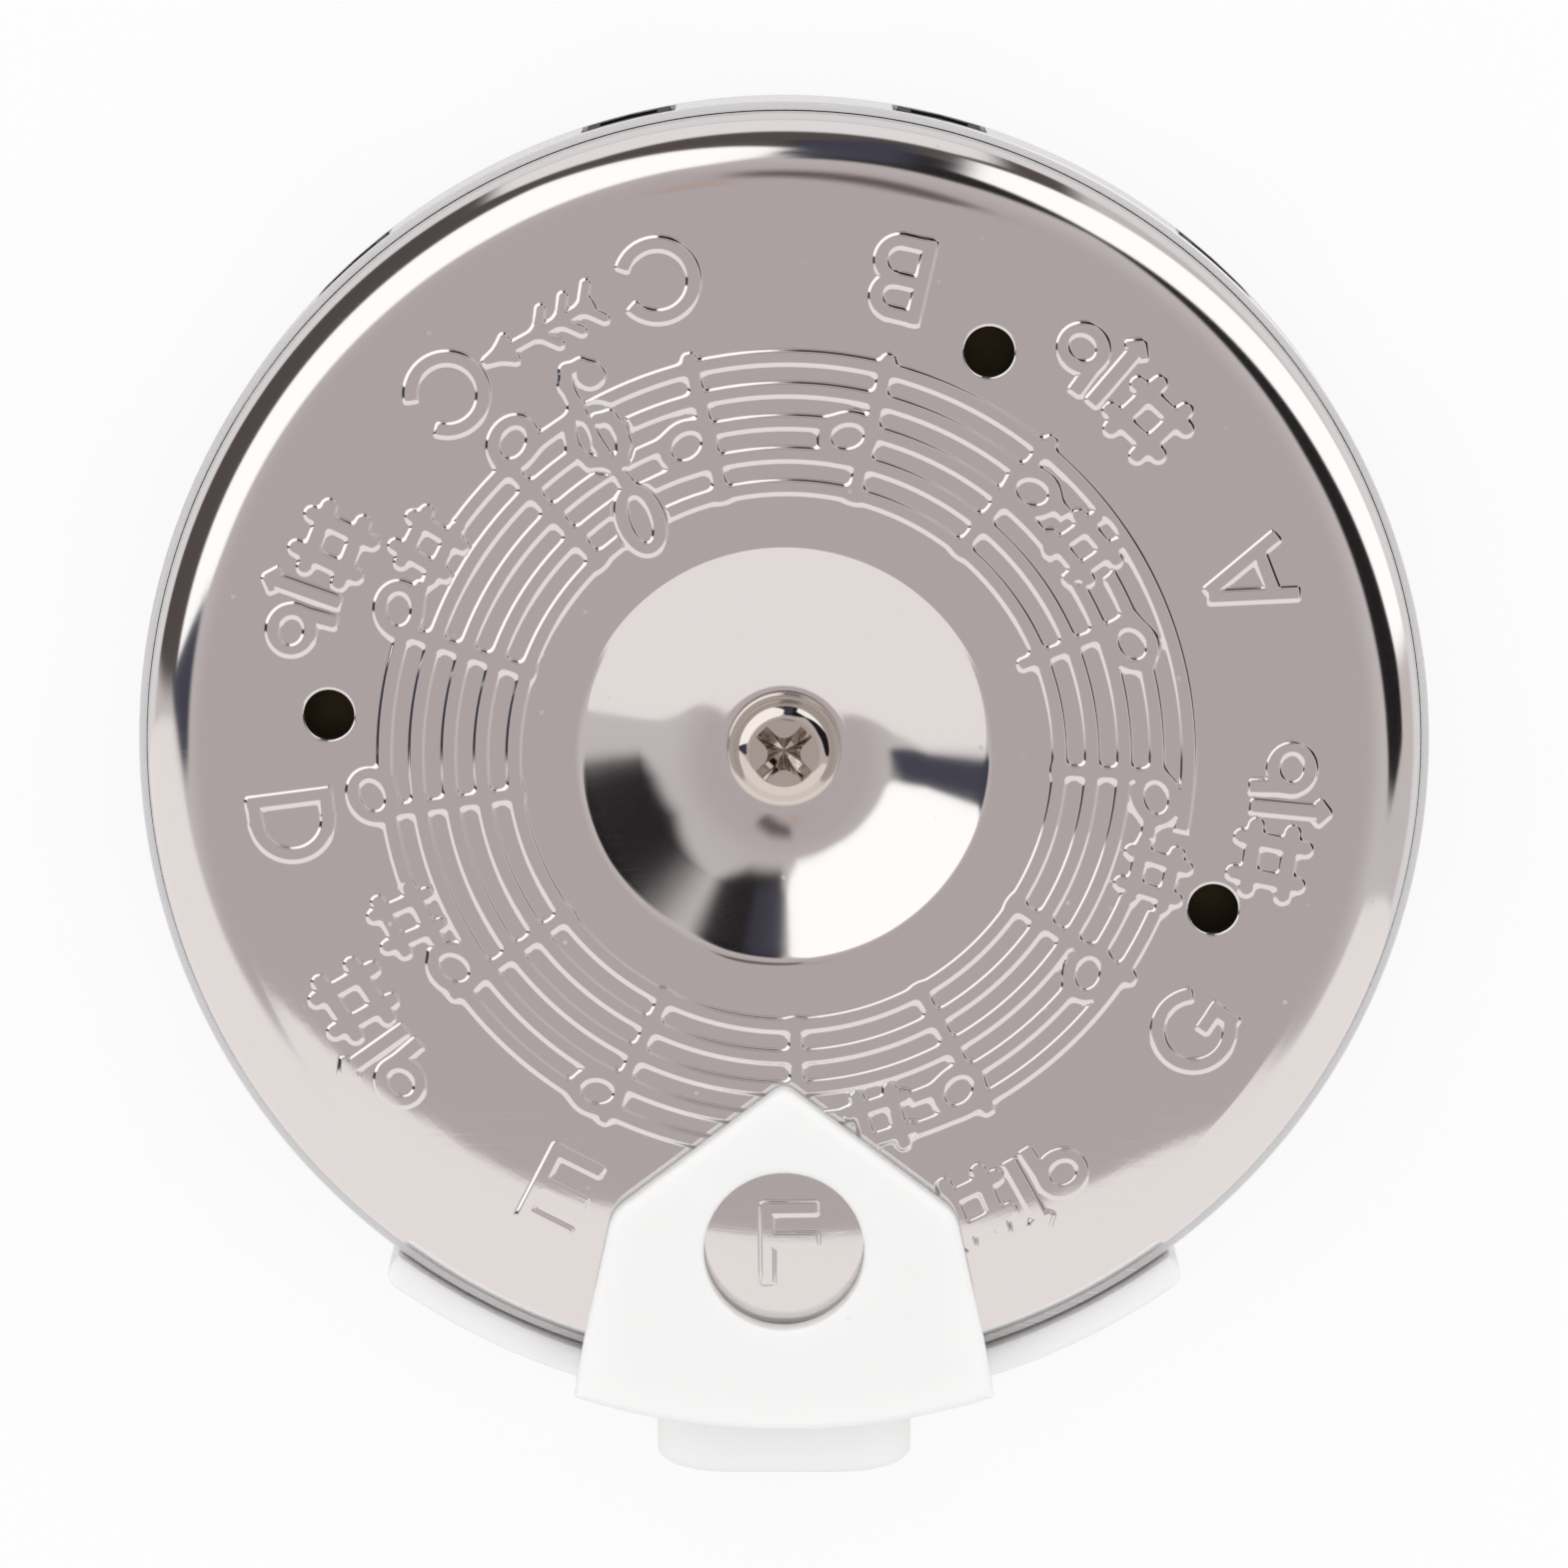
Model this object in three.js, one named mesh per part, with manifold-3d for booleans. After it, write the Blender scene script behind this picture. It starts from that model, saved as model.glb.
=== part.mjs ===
// Chromatic pitch pipe: a round reed case between two pressed covers, and a selector
// that turns round the rim and leads the breath to one of thirteen reeds.
//
// Millimetres, +Z up. The disc lies on its back cover, its axis is parallel to Z,
// and the mouthpiece points to -Y. The origin is under the middle of the outline.

import * as THREE from "three";
import { mergeVertices } from "three/addons/utils/BufferGeometryUtils.js";
import Module from "manifold-3d";

const wasm = await Module();
wasm.setup();

// Driving dimensions: the disc
const noteCount = 13;
const selectedNote = 5;
const bandRadius = 33.0;
const bandHeight = 4.7;
const frontCoverHeight = 3.65;
const backCoverHeight = 3.65;
const bandSheet = 0.4;
const coverSheet = 0.5;
const coverInset = 0.1;

// Driving dimensions: the front cover
const frontRollWidth = 3.75;
const frontSkirt = 0.35;
const dishRadius = 11.0;
const frontDishDepth = 3.6;
const dishFloorRadius = 3.4;
const dishBowlRounding = 4.4;
const dishLipRounding = 1.6;
const soundHoleRadius = 1.225;
const soundHoleInset = 6.0;
const soundHoleAfter = [1, 7, 10];

// Driving dimensions: the back cover, with the channel that guides the selector
const backDishDepth = 3.0;
const backFlatInset = 8.3;
const joggleWidth = 1.1;
const beadDepth = 0.9;
const beadSlope = 0.6;
const beadWidth = 0.9;
const backSkirt = 0.25;

// Driving dimensions: the selector, its insets measured from the rim towards the axis
const wallThickness = 1.3;
const plateThickness = 1.45;
const plateGap = 0.35;
const tipInset = 16.4;
const tipRounding = 0.7;
const shoulderInset = 9.7;
const shoulderHalf = 8.8;
const shoulderRounding = 0.8;
const waistInset = 3.1;
const waistHalf = 10.25;
const waistRounding = 0.5;
const footHalf = 10.75;
const windowRadius = 4.1;
const windowInset = 7.8;
const wingHalfAngle = 37 * Math.PI / 180;
const wingHeight = 6.6;
const wingRounding = 0.95;
const wingEdge = 0.3;
const tabLift = 0.15;
const hookWidth = 2.2;
const hookHeight = 0.9;
const selectorEdge = 0.45;

// Driving dimensions: the mouthpiece
const mouthLength = 3.4;
const mouthWidth = 13.2;
const mouthHeight = 7.3;
const mouthWall = 1.3;
const mouthCorner = 2.7;
const mouthEdge = 0.5;

// Driving dimensions: the reed comb
const windowWidth = 4.9;
const windowFrame = 0.45;
const blowHoleWidth = 3.0;
const blowHoleHeight = 1.9;
const combWall = 1.7;
const chamberInner = 11.6;
const chamberInnerWidth = 3.2;
const chamberOuterWidth = 4.5;
const chamberRounding = 1.05;
const chamberFloor = 1.1;
const spigotWidth = 0.8;
const spigotHeight = 0.4;
const combInner = 9.8;

// Driving dimensions: the reed plate, the reeds and their rivets
const plateSheet = 0.8;
const plateInner = 10.2;
const reedSheet = 0.25;
const reedRoot = 13.3;
const reedTipGap = 1.7;
const reedHeelWidth = 2.3;
const reedHeelOverhang = 1.1;
const reedNeck = 0.55;
const reedWidth = 1.7;
const reedTipWidth = 1.4;
const slotSideGap = 0.2;
const rivetRadius = 0.4;
const rivetHeadRadius = 0.8;
const rivetHeadHeight = 0.3;

// Driving dimensions: the fasteners
const plateScrewAfter = [0, 3, 6, 9];
const plateScrewInset = 6.1;
const plateScrewRadius = 0.7;
const plateScrewHeadRadius = 1.3;
const plateScrewHeadHeight = 0.65;
const plateScrewDepth = 2.6;
const shankRadius = 1.5;
const headRadius = 2.95;
const headFlange = 0.45;
const headFlangeWall = 0.27;
const headHeight = 1.85;
const headDomeRadius = 2.6;
const headTopRadius = 1.7;
const recessWidth = 0.75;
const recessSpan = 3.1;
const recessDepth = 1.1;
const nutAcrossFlats = 5.5;
const nutHeight = 1.7;
const washerRadius = 3.0;
const washerHeight = 0.4;

// Clearances: round fits, small pins, and flat faces that lie on each other
const fit = 0.3;
const pinFit = 0.2;
const seat = 0.1;

// How far a cut runs past the face that it opens
const overrun = 1;

// Facets: a whole number for every note round the rings of the disc
const ringFacets = 4 * noteCount;
const fineFacets = 8 * noteCount;
const windowFacets = 32;
const headFacets = 24;
const holeFacets = 16;
const pinFacets = 8;
const dishBowlSteps = 2;
const dishLipSteps = 2;
const rollSteps = 4;
const domeSteps = 3;
const cornerSteps = 3;

// Derived sizes of the disc
const pitch = 2 * Math.PI / noteCount;
const bandBottom = backCoverHeight;
const bandTop = bandBottom + bandHeight;
const midHeight = (bandBottom + bandTop) / 2;
const discThickness = bandTop + frontCoverHeight;
const bandInner = bandRadius - bandSheet;
const coverRadius = bandRadius - coverInset;
const coverInner = coverRadius - coverSheet;
const frontFlatRadius = coverRadius - frontRollWidth;
const soundHoleReach = frontFlatRadius - soundHoleInset;
const backFlatRadius = coverRadius - backFlatInset;
const frontDishFloor = discThickness - frontDishDepth;
const hubTop = frontDishFloor - coverSheet - seat;
const hubBottom = backDishDepth + coverSheet + seat;
const screwHoleRadius = shankRadius + fit;
const channelDepth = bandBottom - coverSheet - fit;
const beadHeight = channelDepth - beadDepth;

// Derived sizes of the selector
const selectorInner = bandRadius + fit;
const selectorRadius = selectorInner + wallThickness;
const mouthReach = selectorRadius + mouthLength;
const tipReach = bandRadius - tipInset;
const shoulderReach = bandRadius - shoulderInset;
const waistReach = bandRadius - waistInset;
const windowReach = bandRadius - windowInset;
const plateTop = discThickness + plateGap + plateThickness;
const hookInner = backFlatRadius + joggleWidth + 2 * fit;
const hookOuter = hookInner + hookWidth;
const tabTop = beadHeight - fit;

// Derived sizes of the comb and the reed plate
const combRadius = bandInner - fit;
const chamberOuter = combRadius - combWall;
const plateRadius = coverInner - fit;
const plateScrewReach = plateRadius - plateScrewInset;
const plateBottom = bandTop + seat;
const plateFace = plateBottom + plateSheet;
const reedFace = plateBottom - seat;
const chamberBottom = bandBottom + chamberFloor;
const reedShoulder = reedRoot + reedHeelOverhang;
const longestReed = chamberOuter - reedTipGap - reedShoulder;
const pinHoleRadius = rivetRadius + pinFit;
const plateScrewHole = plateScrewRadius + pinFit;

// Place of the disc's axis, which brings the middle of the outline over the origin
const axisY = (mouthReach - bandRadius) / 2;

// Direction from the axis to a note's reed, seen from the front
function noteAngle(note) {
  return -Math.PI / 2 + (note - selectedNote) * pitch;
}

// Length of a reed: the pitch of one sheet of brass rises with the square of its shortness
function reedLength(note) {
  return longestReed * 2 ** (-note / 24);
}

// Closed solid from a geometry: only places are kept and shared corners are merged
function solidOf(geometry) {
  const bare = geometry.clone();
  bare.deleteAttribute("normal");
  bare.deleteAttribute("uv");
  const merged = mergeVertices(bare, 1e-4);
  const corners = merged.index.array;
  const triVerts = [];
  for (let i = 0; i < corners.length; i += 3) {
    const [a, b, c] = corners.slice(i, i + 3);
    if (a !== b && b !== c && c !== a) triVerts.push(a, b, c);
  }
  return new wasm.Manifold(new wasm.Mesh({
    numProp: 3,
    vertProperties: Float32Array.from(merged.attributes.position.array),
    triVerts: Uint32Array.from(triVerts),
  }));
}

// Geometry of a solid that was joined or cut
function geometryOf(solid) {
  const { numProp, vertProperties, triVerts } = solid.getMesh();
  const places = new Float32Array(vertProperties.length / numProp * 3);
  for (let i = 0; i < places.length / 3; i++) {
    places.set(vertProperties.slice(i * numProp, i * numProp + 3), i * 3);
  }
  const geometry = new THREE.BufferGeometry();
  geometry.setAttribute("position", new THREE.BufferAttribute(places, 3));
  geometry.setIndex(new THREE.BufferAttribute(triVerts, 1));
  geometry.computeVertexNormals();
  return geometry;
}

// Turned shape about Z from [radius, height] points that run anticlockwise and close
function turned(points, facets) {
  const profile = points.map(([r, z]) => new THREE.Vector2(r, z));
  profile.push(profile[0].clone());
  return new THREE.LatheGeometry(profile, facets).rotateX(Math.PI / 2);
}

// Points of an elliptic arc in a profile, the first one left out
function arcPoints(centre, halfAxes, from, to, steps) {
  const points = [];
  for (let i = 1; i <= steps; i++) {
    const a = from + (to - from) * i / steps;
    points.push([centre[0] + halfAxes[0] * Math.cos(a), centre[1] + halfAxes[1] * Math.sin(a)]);
  }
  return points;
}

// Closed profile of a sheet: the line itself, then its parallel on the left at the sheet's thickness
function sheetProfile(line, sheet) {
  const parallel = line.map((point, i) => {
    const before = line[Math.max(i - 1, 0)];
    const after = line[Math.min(i + 1, line.length - 1)];
    const incoming = new THREE.Vector2(point[0] - before[0], point[1] - before[1]).normalize();
    const outgoing = new THREE.Vector2(after[0] - point[0], after[1] - point[1]).normalize();
    const along = incoming.clone().add(outgoing).normalize();
    const mitre = sheet / Math.max(along.dot(i > 0 ? incoming : outgoing), 0.5);
    return [point[0] - along.y * mitre, point[1] + along.x * mitre];
  });
  return [...line, ...parallel.reverse()];
}

// Closed outline with rounded corners: each corner is [x, y, rounding]
function roundedShape(corners) {
  const shape = new THREE.Shape();
  corners.forEach(([x, y, rounding], i) => {
    const corner = new THREE.Vector2(x, y);
    const before = new THREE.Vector2(...corners.at(i - 1).slice(0, 2)).sub(corner).setLength(rounding);
    const after = new THREE.Vector2(...corners[(i + 1) % corners.length].slice(0, 2));
    after.sub(corner).setLength(rounding);
    if (i === 0) shape.moveTo(x + before.x, y + before.y);
    else shape.lineTo(x + before.x, y + before.y);
    if (rounding > 0) shape.quadraticCurveTo(x, y, x + after.x, y + after.y);
  });
  shape.closePath();
  return shape;
}

// Rectangle along a direction: from one distance to another, with its own width at each end
function strip(from, to, fromWidth, toWidth, rounding = 0) {
  return roundedShape([
    [from, -fromWidth / 2, rounding],
    [to, -toWidth / 2, rounding],
    [to, toWidth / 2, rounding],
    [from, fromWidth / 2, rounding],
  ]);
}

// Points of a circle about a centre
function circlePoints(x, y, radius, facets) {
  const points = [];
  for (let i = 0; i < facets; i++) {
    const a = 2 * Math.PI * i / facets - Math.PI / 2;
    points.push(new THREE.Vector2(x + radius * Math.cos(a), y + radius * Math.sin(a)));
  }
  return points;
}

// Straight extrusion of an outline between two heights, with an edge rounding if one is given
function prism(shape, low, high, edge = 0, curveSegments = 4) {
  const geometry = new THREE.ExtrudeGeometry(shape, {
    depth: high - low - 2 * edge,
    bevelEnabled: edge > 0,
    bevelThickness: edge,
    bevelSize: edge,
    bevelOffset: -edge,
    bevelSegments: 2,
    curveSegments,
  });
  return geometry.translate(0, 0, low + edge);
}

// Round pin or hole about Z at a place
function rod(x, y, radius, low, high, facets) {
  const geometry = new THREE.CylinderGeometry(radius, radius, high - low, facets);
  return geometry.rotateX(Math.PI / 2).translate(x, y, (high + low) / 2);
}

// Profile of a pressed dish from its flat floor out to the ring round it: a rounded bowl, a short
// cone that both arcs run into, and a soft lip; the heights are measured from the floor
function dishPoints(depth) {
  const width = dishRadius - dishFloorRadius;
  const roundings = dishBowlRounding + dishLipRounding;
  const coneLength = Math.sqrt(width ** 2 + depth ** 2 - 2 * depth * roundings);
  const slope = Math.atan2(depth - roundings, width) + Math.atan2(roundings, coneLength);
  const bowlCentre = [dishFloorRadius, dishBowlRounding];
  const lipCentre = [dishRadius, depth - dishLipRounding];
  const bowl = arcPoints(bowlCentre, [dishBowlRounding, dishBowlRounding], -Math.PI / 2,
    slope - Math.PI / 2, dishBowlSteps);
  const lip = arcPoints(lipCentre, [dishLipRounding, dishLipRounding], Math.PI / 2 + slope,
    Math.PI / 2, dishLipSteps);
  const lipStart = [lipCentre[0] - dishLipRounding * Math.sin(slope),
    lipCentre[1] + dishLipRounding * Math.cos(slope)];
  return [[dishFloorRadius, 0], ...bowl, lipStart, ...lip];
}

// Front cover: shallow dish in the middle, flat ring for the scale, rolled edge and short skirt
function frontCover() {
  const rollWidth = coverRadius - frontFlatRadius;
  const rollStart = bandTop + seat + frontSkirt;
  const line = [
    [coverRadius, bandTop + seat],
    [coverRadius, rollStart],
    ...arcPoints([frontFlatRadius, rollStart], [rollWidth, discThickness - rollStart],
      0, Math.PI / 2, rollSteps),
    ...dishPoints(frontDishDepth).map(([r, height]) => [r, frontDishFloor + height]).reverse(),
    [screwHoleRadius, frontDishFloor],
  ];
  let cover = solidOf(turned(sheetProfile(line, coverSheet), ringFacets));
  for (const note of soundHoleAfter) {
    const a = noteAngle(note + 0.5);
    const x = soundHoleReach * Math.cos(a);
    const y = soundHoleReach * Math.sin(a);
    const low = discThickness - coverSheet - overrun;
    cover = cover.subtract(solidOf(rod(x, y, soundHoleRadius, low, discThickness + overrun, holeFacets)));
  }
  return geometryOf(cover);
}

// Back cover: dish for the nut, flat ring to lie on, and a channel with a bead that the
// selector's hook runs in
function backCover() {
  const channelOuter = hookOuter + fit / 2;
  const rollStart = channelOuter + beadSlope + beadWidth;
  const rollWidth = coverRadius - rollStart;
  const rollTop = bandBottom - seat - backSkirt;
  const line = [
    [screwHoleRadius, backDishDepth],
    ...dishPoints(backDishDepth).map(([r, height]) => [r, backDishDepth - height]),
    [backFlatRadius, 0],
    [backFlatRadius + joggleWidth, channelDepth],
    [channelOuter, channelDepth],
    [channelOuter + beadSlope, beadHeight],
    [rollStart, beadHeight],
    ...arcPoints([rollStart, rollTop], [rollWidth, rollTop - beadHeight], -Math.PI / 2, 0, rollSteps),
    [coverRadius, bandBottom - seat],
  ];
  return turned(sheetProfile(line, coverSheet), ringFacets);
}

// Rim band: thin ring with one window for each blow hole
function rimBand() {
  let band = solidOf(turned([
    [bandInner, bandBottom],
    [bandRadius, bandBottom],
    [bandRadius, bandTop],
    [bandInner, bandTop],
  ], ringFacets));
  for (let note = 0; note < noteCount; note++) {
    const opening = strip(bandInner - overrun, bandRadius + overrun, windowWidth, windowWidth);
    const cut = prism(opening, bandBottom + windowFrame, bandTop - windowFrame).rotateZ(noteAngle(note));
    band = band.subtract(solidOf(cut));
  }
  return geometryOf(band);
}

// Outline of a nozzle: a block that fills a window, its outer face on the band's circle
function nozzleShape() {
  const half = windowWidth / 2 - fit;
  const swing = Math.asin(half / bandRadius);
  const shape = new THREE.Shape();
  shape.moveTo(combRadius - overrun, -half);
  shape.lineTo(bandRadius * Math.cos(swing), -half);
  shape.absarc(0, 0, bandRadius, -swing, swing, false);
  shape.lineTo(combRadius - overrun, half);
  shape.closePath();
  return shape;
}

// Reed comb: moulded body with a chamber and a blow hole for every note
function reedComb() {
  const spigotOuter = coverInner - fit;
  const spigotInner = spigotOuter - spigotWidth;
  let comb = solidOf(turned([
    [screwHoleRadius, hubBottom],
    [combInner, hubBottom],
    [combInner, bandBottom],
    [spigotInner, bandBottom],
    [spigotInner, bandBottom - spigotHeight],
    [spigotOuter, bandBottom - spigotHeight],
    [spigotOuter, bandBottom],
    [combRadius, bandBottom],
    [combRadius, bandTop],
    [combInner, bandTop],
    [combInner, hubTop],
    [screwHoleRadius, hubTop],
  ], ringFacets));
  const chamber = strip(chamberInner, chamberOuter, chamberInnerWidth, chamberOuterWidth, chamberRounding);
  const blowHole = strip(chamberOuter - overrun, bandRadius + overrun, blowHoleWidth, blowHoleWidth);
  const nozzleFrame = windowFrame + fit;
  for (let note = 0; note < noteCount; note++) {
    const a = noteAngle(note);
    const nozzle = prism(nozzleShape(), bandBottom + nozzleFrame, bandTop - nozzleFrame, 0, 1).rotateZ(a);
    const pocket = prism(chamber, chamberBottom, bandTop + overrun, 0, 2).rotateZ(a);
    const mouth = prism(blowHole, midHeight - blowHoleHeight / 2, midHeight + blowHoleHeight / 2).rotateZ(a);
    comb = comb.add(solidOf(nozzle)).subtract(solidOf(pocket)).subtract(solidOf(mouth));
  }
  for (const note of plateScrewAfter) {
    const [x, y] = screwPlace(note);
    const low = bandTop - plateScrewDepth - seat;
    comb = comb.subtract(solidOf(rod(x, y, plateScrewHole, low, bandTop + overrun, pinFacets)));
  }
  return geometryOf(comb);
}

// Place of a screw of the reed plate, half way between two notes
function screwPlace(note) {
  const a = noteAngle(note + 0.5);
  return [plateScrewReach * Math.cos(a), plateScrewReach * Math.sin(a)];
}

// Reed plate: flat ring on the comb, with a slot under which each reed swings
function reedPlate() {
  const shape = new THREE.Shape(circlePoints(0, 0, plateRadius, ringFacets));
  shape.holes.push(new THREE.Path(circlePoints(0, 0, plateInner, ringFacets)));
  const slotWidth = reedWidth + 2 * slotSideGap;
  for (let note = 0; note < noteCount; note++) {
    const a = noteAngle(note);
    const turn = (p) => p.rotateAround(new THREE.Vector2(), a);
    const from = reedShoulder + slotSideGap;
    const to = reedShoulder + reedLength(note) + slotSideGap;
    shape.holes.push(new THREE.Path(strip(from, to, slotWidth, slotWidth).getPoints(1).map(turn)));
    shape.holes.push(new THREE.Path(circlePoints(reedRoot, 0, pinHoleRadius, pinFacets).map(turn)));
  }
  for (const note of plateScrewAfter) {
    const [x, y] = screwPlace(note);
    shape.holes.push(new THREE.Path(circlePoints(x, y, plateScrewHole, pinFacets)));
  }
  return prism(shape, plateBottom, plateFace);
}

// Reed: riveted heel and a tongue that narrows to its tip, its length set by the note
function reed(note) {
  const start = reedRoot - reedHeelOverhang;
  const tip = reedShoulder + reedLength(note);
  const shape = new THREE.Shape([
    new THREE.Vector2(start, -reedHeelWidth / 2),
    new THREE.Vector2(reedShoulder, -reedHeelWidth / 2),
    new THREE.Vector2(reedShoulder + reedNeck, -reedWidth / 2),
    new THREE.Vector2(tip, -reedTipWidth / 2),
    new THREE.Vector2(tip, reedTipWidth / 2),
    new THREE.Vector2(reedShoulder + reedNeck, reedWidth / 2),
    new THREE.Vector2(reedShoulder, reedHeelWidth / 2),
    new THREE.Vector2(start, reedHeelWidth / 2),
  ]);
  shape.holes.push(new THREE.Path(circlePoints(reedRoot, 0, pinHoleRadius, pinFacets)));
  return prism(shape, reedFace - reedSheet, reedFace).rotateZ(noteAngle(note));
}

// Rivet: domed head on the plate, shank through plate and reed, spread end under the heel
function rivet(note) {
  const spread = reedFace - reedSheet - seat;
  const head = plateFace + seat;
  const geometry = new THREE.LatheGeometry([
    new THREE.Vector2(0, spread - rivetHeadHeight),
    new THREE.Vector2(rivetHeadRadius, spread - rivetHeadHeight / 2),
    new THREE.Vector2(rivetRadius, spread),
    new THREE.Vector2(rivetRadius, head),
    new THREE.Vector2(rivetHeadRadius, head),
    new THREE.Vector2(0, head + rivetHeadHeight),
  ], pinFacets);
  return geometry.rotateX(Math.PI / 2).translate(0, -reedRoot, 0).rotateZ(noteAngle(note) + Math.PI / 2);
}

// Screw of the reed plate: cheese head and plain shank in the comb
function plateScrew(note) {
  const head = plateFace + seat;
  const geometry = new THREE.LatheGeometry([
    new THREE.Vector2(0, bandTop - plateScrewDepth),
    new THREE.Vector2(plateScrewRadius, bandTop - plateScrewDepth),
    new THREE.Vector2(plateScrewRadius, head),
    new THREE.Vector2(plateScrewHeadRadius, head),
    new THREE.Vector2(plateScrewHeadRadius, head + plateScrewHeadHeight),
    new THREE.Vector2(0, head + plateScrewHeadHeight),
  ], holeFacets);
  const [x, y] = screwPlace(note);
  return geometry.rotateX(Math.PI / 2).translate(x, y, 0);
}

// Heights of the fasteners in the middle, from the front head down to the nut
const headBase = frontDishFloor + seat;
const washerTop = backDishDepth - seat;
const nutTop = washerTop - washerHeight - seat;
const nutBottom = nutTop - nutHeight;

// Screw in the middle: flanged pan head with a cross recess, and a shank that ends in the nut
function centreScrew() {
  const head = solidOf(turned([
    [0, nutBottom + seat],
    [shankRadius, nutBottom + seat],
    [shankRadius, headBase],
    [headRadius, headBase],
    [headRadius, headBase + headFlangeWall],
    [headDomeRadius, headBase + headFlange],
    ...arcPoints([headTopRadius, headBase + headFlange],
      [headDomeRadius - headTopRadius, headHeight - headFlange], 0, Math.PI / 2, domeSteps),
    [0, headBase + headHeight],
  ], headFacets));
  const floor = headBase + headHeight - recessDepth;
  const arm = strip(-recessSpan / 2, recessSpan / 2, recessWidth, recessWidth);
  const first = prism(arm, floor, headBase + headHeight + overrun).rotateZ(Math.PI / 4);
  const second = prism(arm, floor, headBase + headHeight + overrun).rotateZ(-Math.PI / 4);
  return geometryOf(head.subtract(solidOf(first).add(solidOf(second))));
}

// Nut in the back dish, on its washer
function centreNut() {
  const shape = new THREE.Shape(circlePoints(0, 0, nutAcrossFlats / Math.sqrt(3), 6));
  shape.holes.push(new THREE.Path(circlePoints(0, 0, shankRadius + pinFit, headFacets)));
  return prism(shape, nutBottom, nutTop);
}

function centreWasher() {
  const shape = new THREE.Shape(circlePoints(0, 0, washerRadius, headFacets));
  shape.holes.push(new THREE.Path(circlePoints(0, 0, screwHoleRadius, headFacets)));
  return prism(shape, washerTop - washerHeight, washerTop);
}

// Outline of the selector's pointer plate: a gable over a body that widens to the rim
function pointerShape() {
  const swing = Math.asin(footHalf / selectorRadius);
  const footY = -selectorRadius * Math.cos(swing);
  const corners = [
    [0, -tipReach, tipRounding],
    [-shoulderHalf, -shoulderReach, shoulderRounding],
    [-waistHalf, -waistReach, waistRounding],
    [-footHalf, footY, 0],
    [footHalf, footY, 0],
    [waistHalf, -waistReach, waistRounding],
    [shoulderHalf, -shoulderReach, shoulderRounding],
  ];
  const points = roundedShape(corners).getPoints(cornerSteps).slice(0, -1);
  const rimSteps = 12;
  const leftFoot = points.findIndex((p) => Math.abs(p.x + footHalf) < 1e-9);
  const rim = [];
  for (let i = 1; i < rimSteps; i++) {
    const a = -Math.PI / 2 - swing + 2 * swing * i / rimSteps;
    rim.push(new THREE.Vector2(selectorRadius * Math.cos(a), selectorRadius * Math.sin(a)));
  }
  points.splice(leftFoot + 1, 0, ...rim);
  return new THREE.Shape(points);
}

// Outline of the two wings: a curved strip round the rim with rounded ends
function wingShape() {
  const inner = selectorInner - overrun;
  const turnBack = wingRounding / selectorRadius;
  const ends = [-Math.PI / 2 - wingHalfAngle, -Math.PI / 2 + wingHalfAngle];
  const at = (r, a) => [r * Math.cos(a), r * Math.sin(a)];
  const shape = new THREE.Shape();
  shape.moveTo(...at(inner, ends[0]));
  shape.lineTo(...at(selectorRadius - wingRounding, ends[0]));
  shape.quadraticCurveTo(...at(selectorRadius, ends[0]), ...at(selectorRadius, ends[0] + turnBack));
  shape.absarc(0, 0, selectorRadius, ends[0] + turnBack, ends[1] - turnBack, false);
  shape.quadraticCurveTo(...at(selectorRadius, ends[1]), ...at(selectorRadius - wingRounding, ends[1]));
  shape.lineTo(...at(inner, ends[1]));
  shape.absarc(0, 0, inner, ends[1], ends[0], true);
  return shape;
}

// Rounded bar along -Y: the outside or the inside of the mouthpiece
function mouthBar(width, height, corner, from, to, edge) {
  const shape = roundedShape([
    [-width / 2, midHeight - height / 2, corner],
    [width / 2, midHeight - height / 2, corner],
    [width / 2, midHeight + height / 2, corner],
    [-width / 2, midHeight + height / 2, corner],
  ]);
  return prism(shape, from, to, edge, 4).rotateX(Math.PI / 2);
}

// Selector: pointer plate with its window, wall and wings round the rim, mouthpiece with its
// duct, and a tab under the disc whose hook runs in the back cover's channel
function selector() {
  const wingBottom = midHeight - wingHeight / 2;
  const innerEnd = selectorInner - overrun;
  const block = solidOf(prism(pointerShape(), tabLift, plateTop, selectorEdge));
  const wings = solidOf(prism(wingShape(), wingBottom, wingBottom + wingHeight, wingEdge, 8));
  const mouth = solidOf(mouthBar(mouthWidth, mouthHeight, mouthCorner, innerEnd, mouthReach, mouthEdge));
  const disc = solidOf(turned([
    [0, -overrun],
    [hookInner, -overrun],
    [hookInner, tabTop + hookHeight],
    [hookOuter, tabTop + hookHeight],
    [hookOuter, tabTop],
    [selectorInner, tabTop],
    [selectorInner, discThickness + plateGap],
    [0, discThickness + plateGap],
  ], fineFacets));
  const windowEdge = selectorEdge / 2;
  const window = solidOf(turned([
    [0, discThickness],
    [windowRadius, discThickness],
    [windowRadius, plateTop - windowEdge],
    [windowRadius + windowEdge, plateTop],
    [windowRadius + windowEdge, plateTop + overrun],
    [0, plateTop + overrun],
  ], windowFacets).translate(0, -windowReach, 0));
  const duct = solidOf(mouthBar(mouthWidth - 2 * mouthWall, mouthHeight - 2 * mouthWall,
    mouthCorner - mouthWall, innerEnd, mouthReach + overrun, 0));
  return geometryOf(block.add(wings).add(mouth).subtract(disc).subtract(window).subtract(duct));
}

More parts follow.
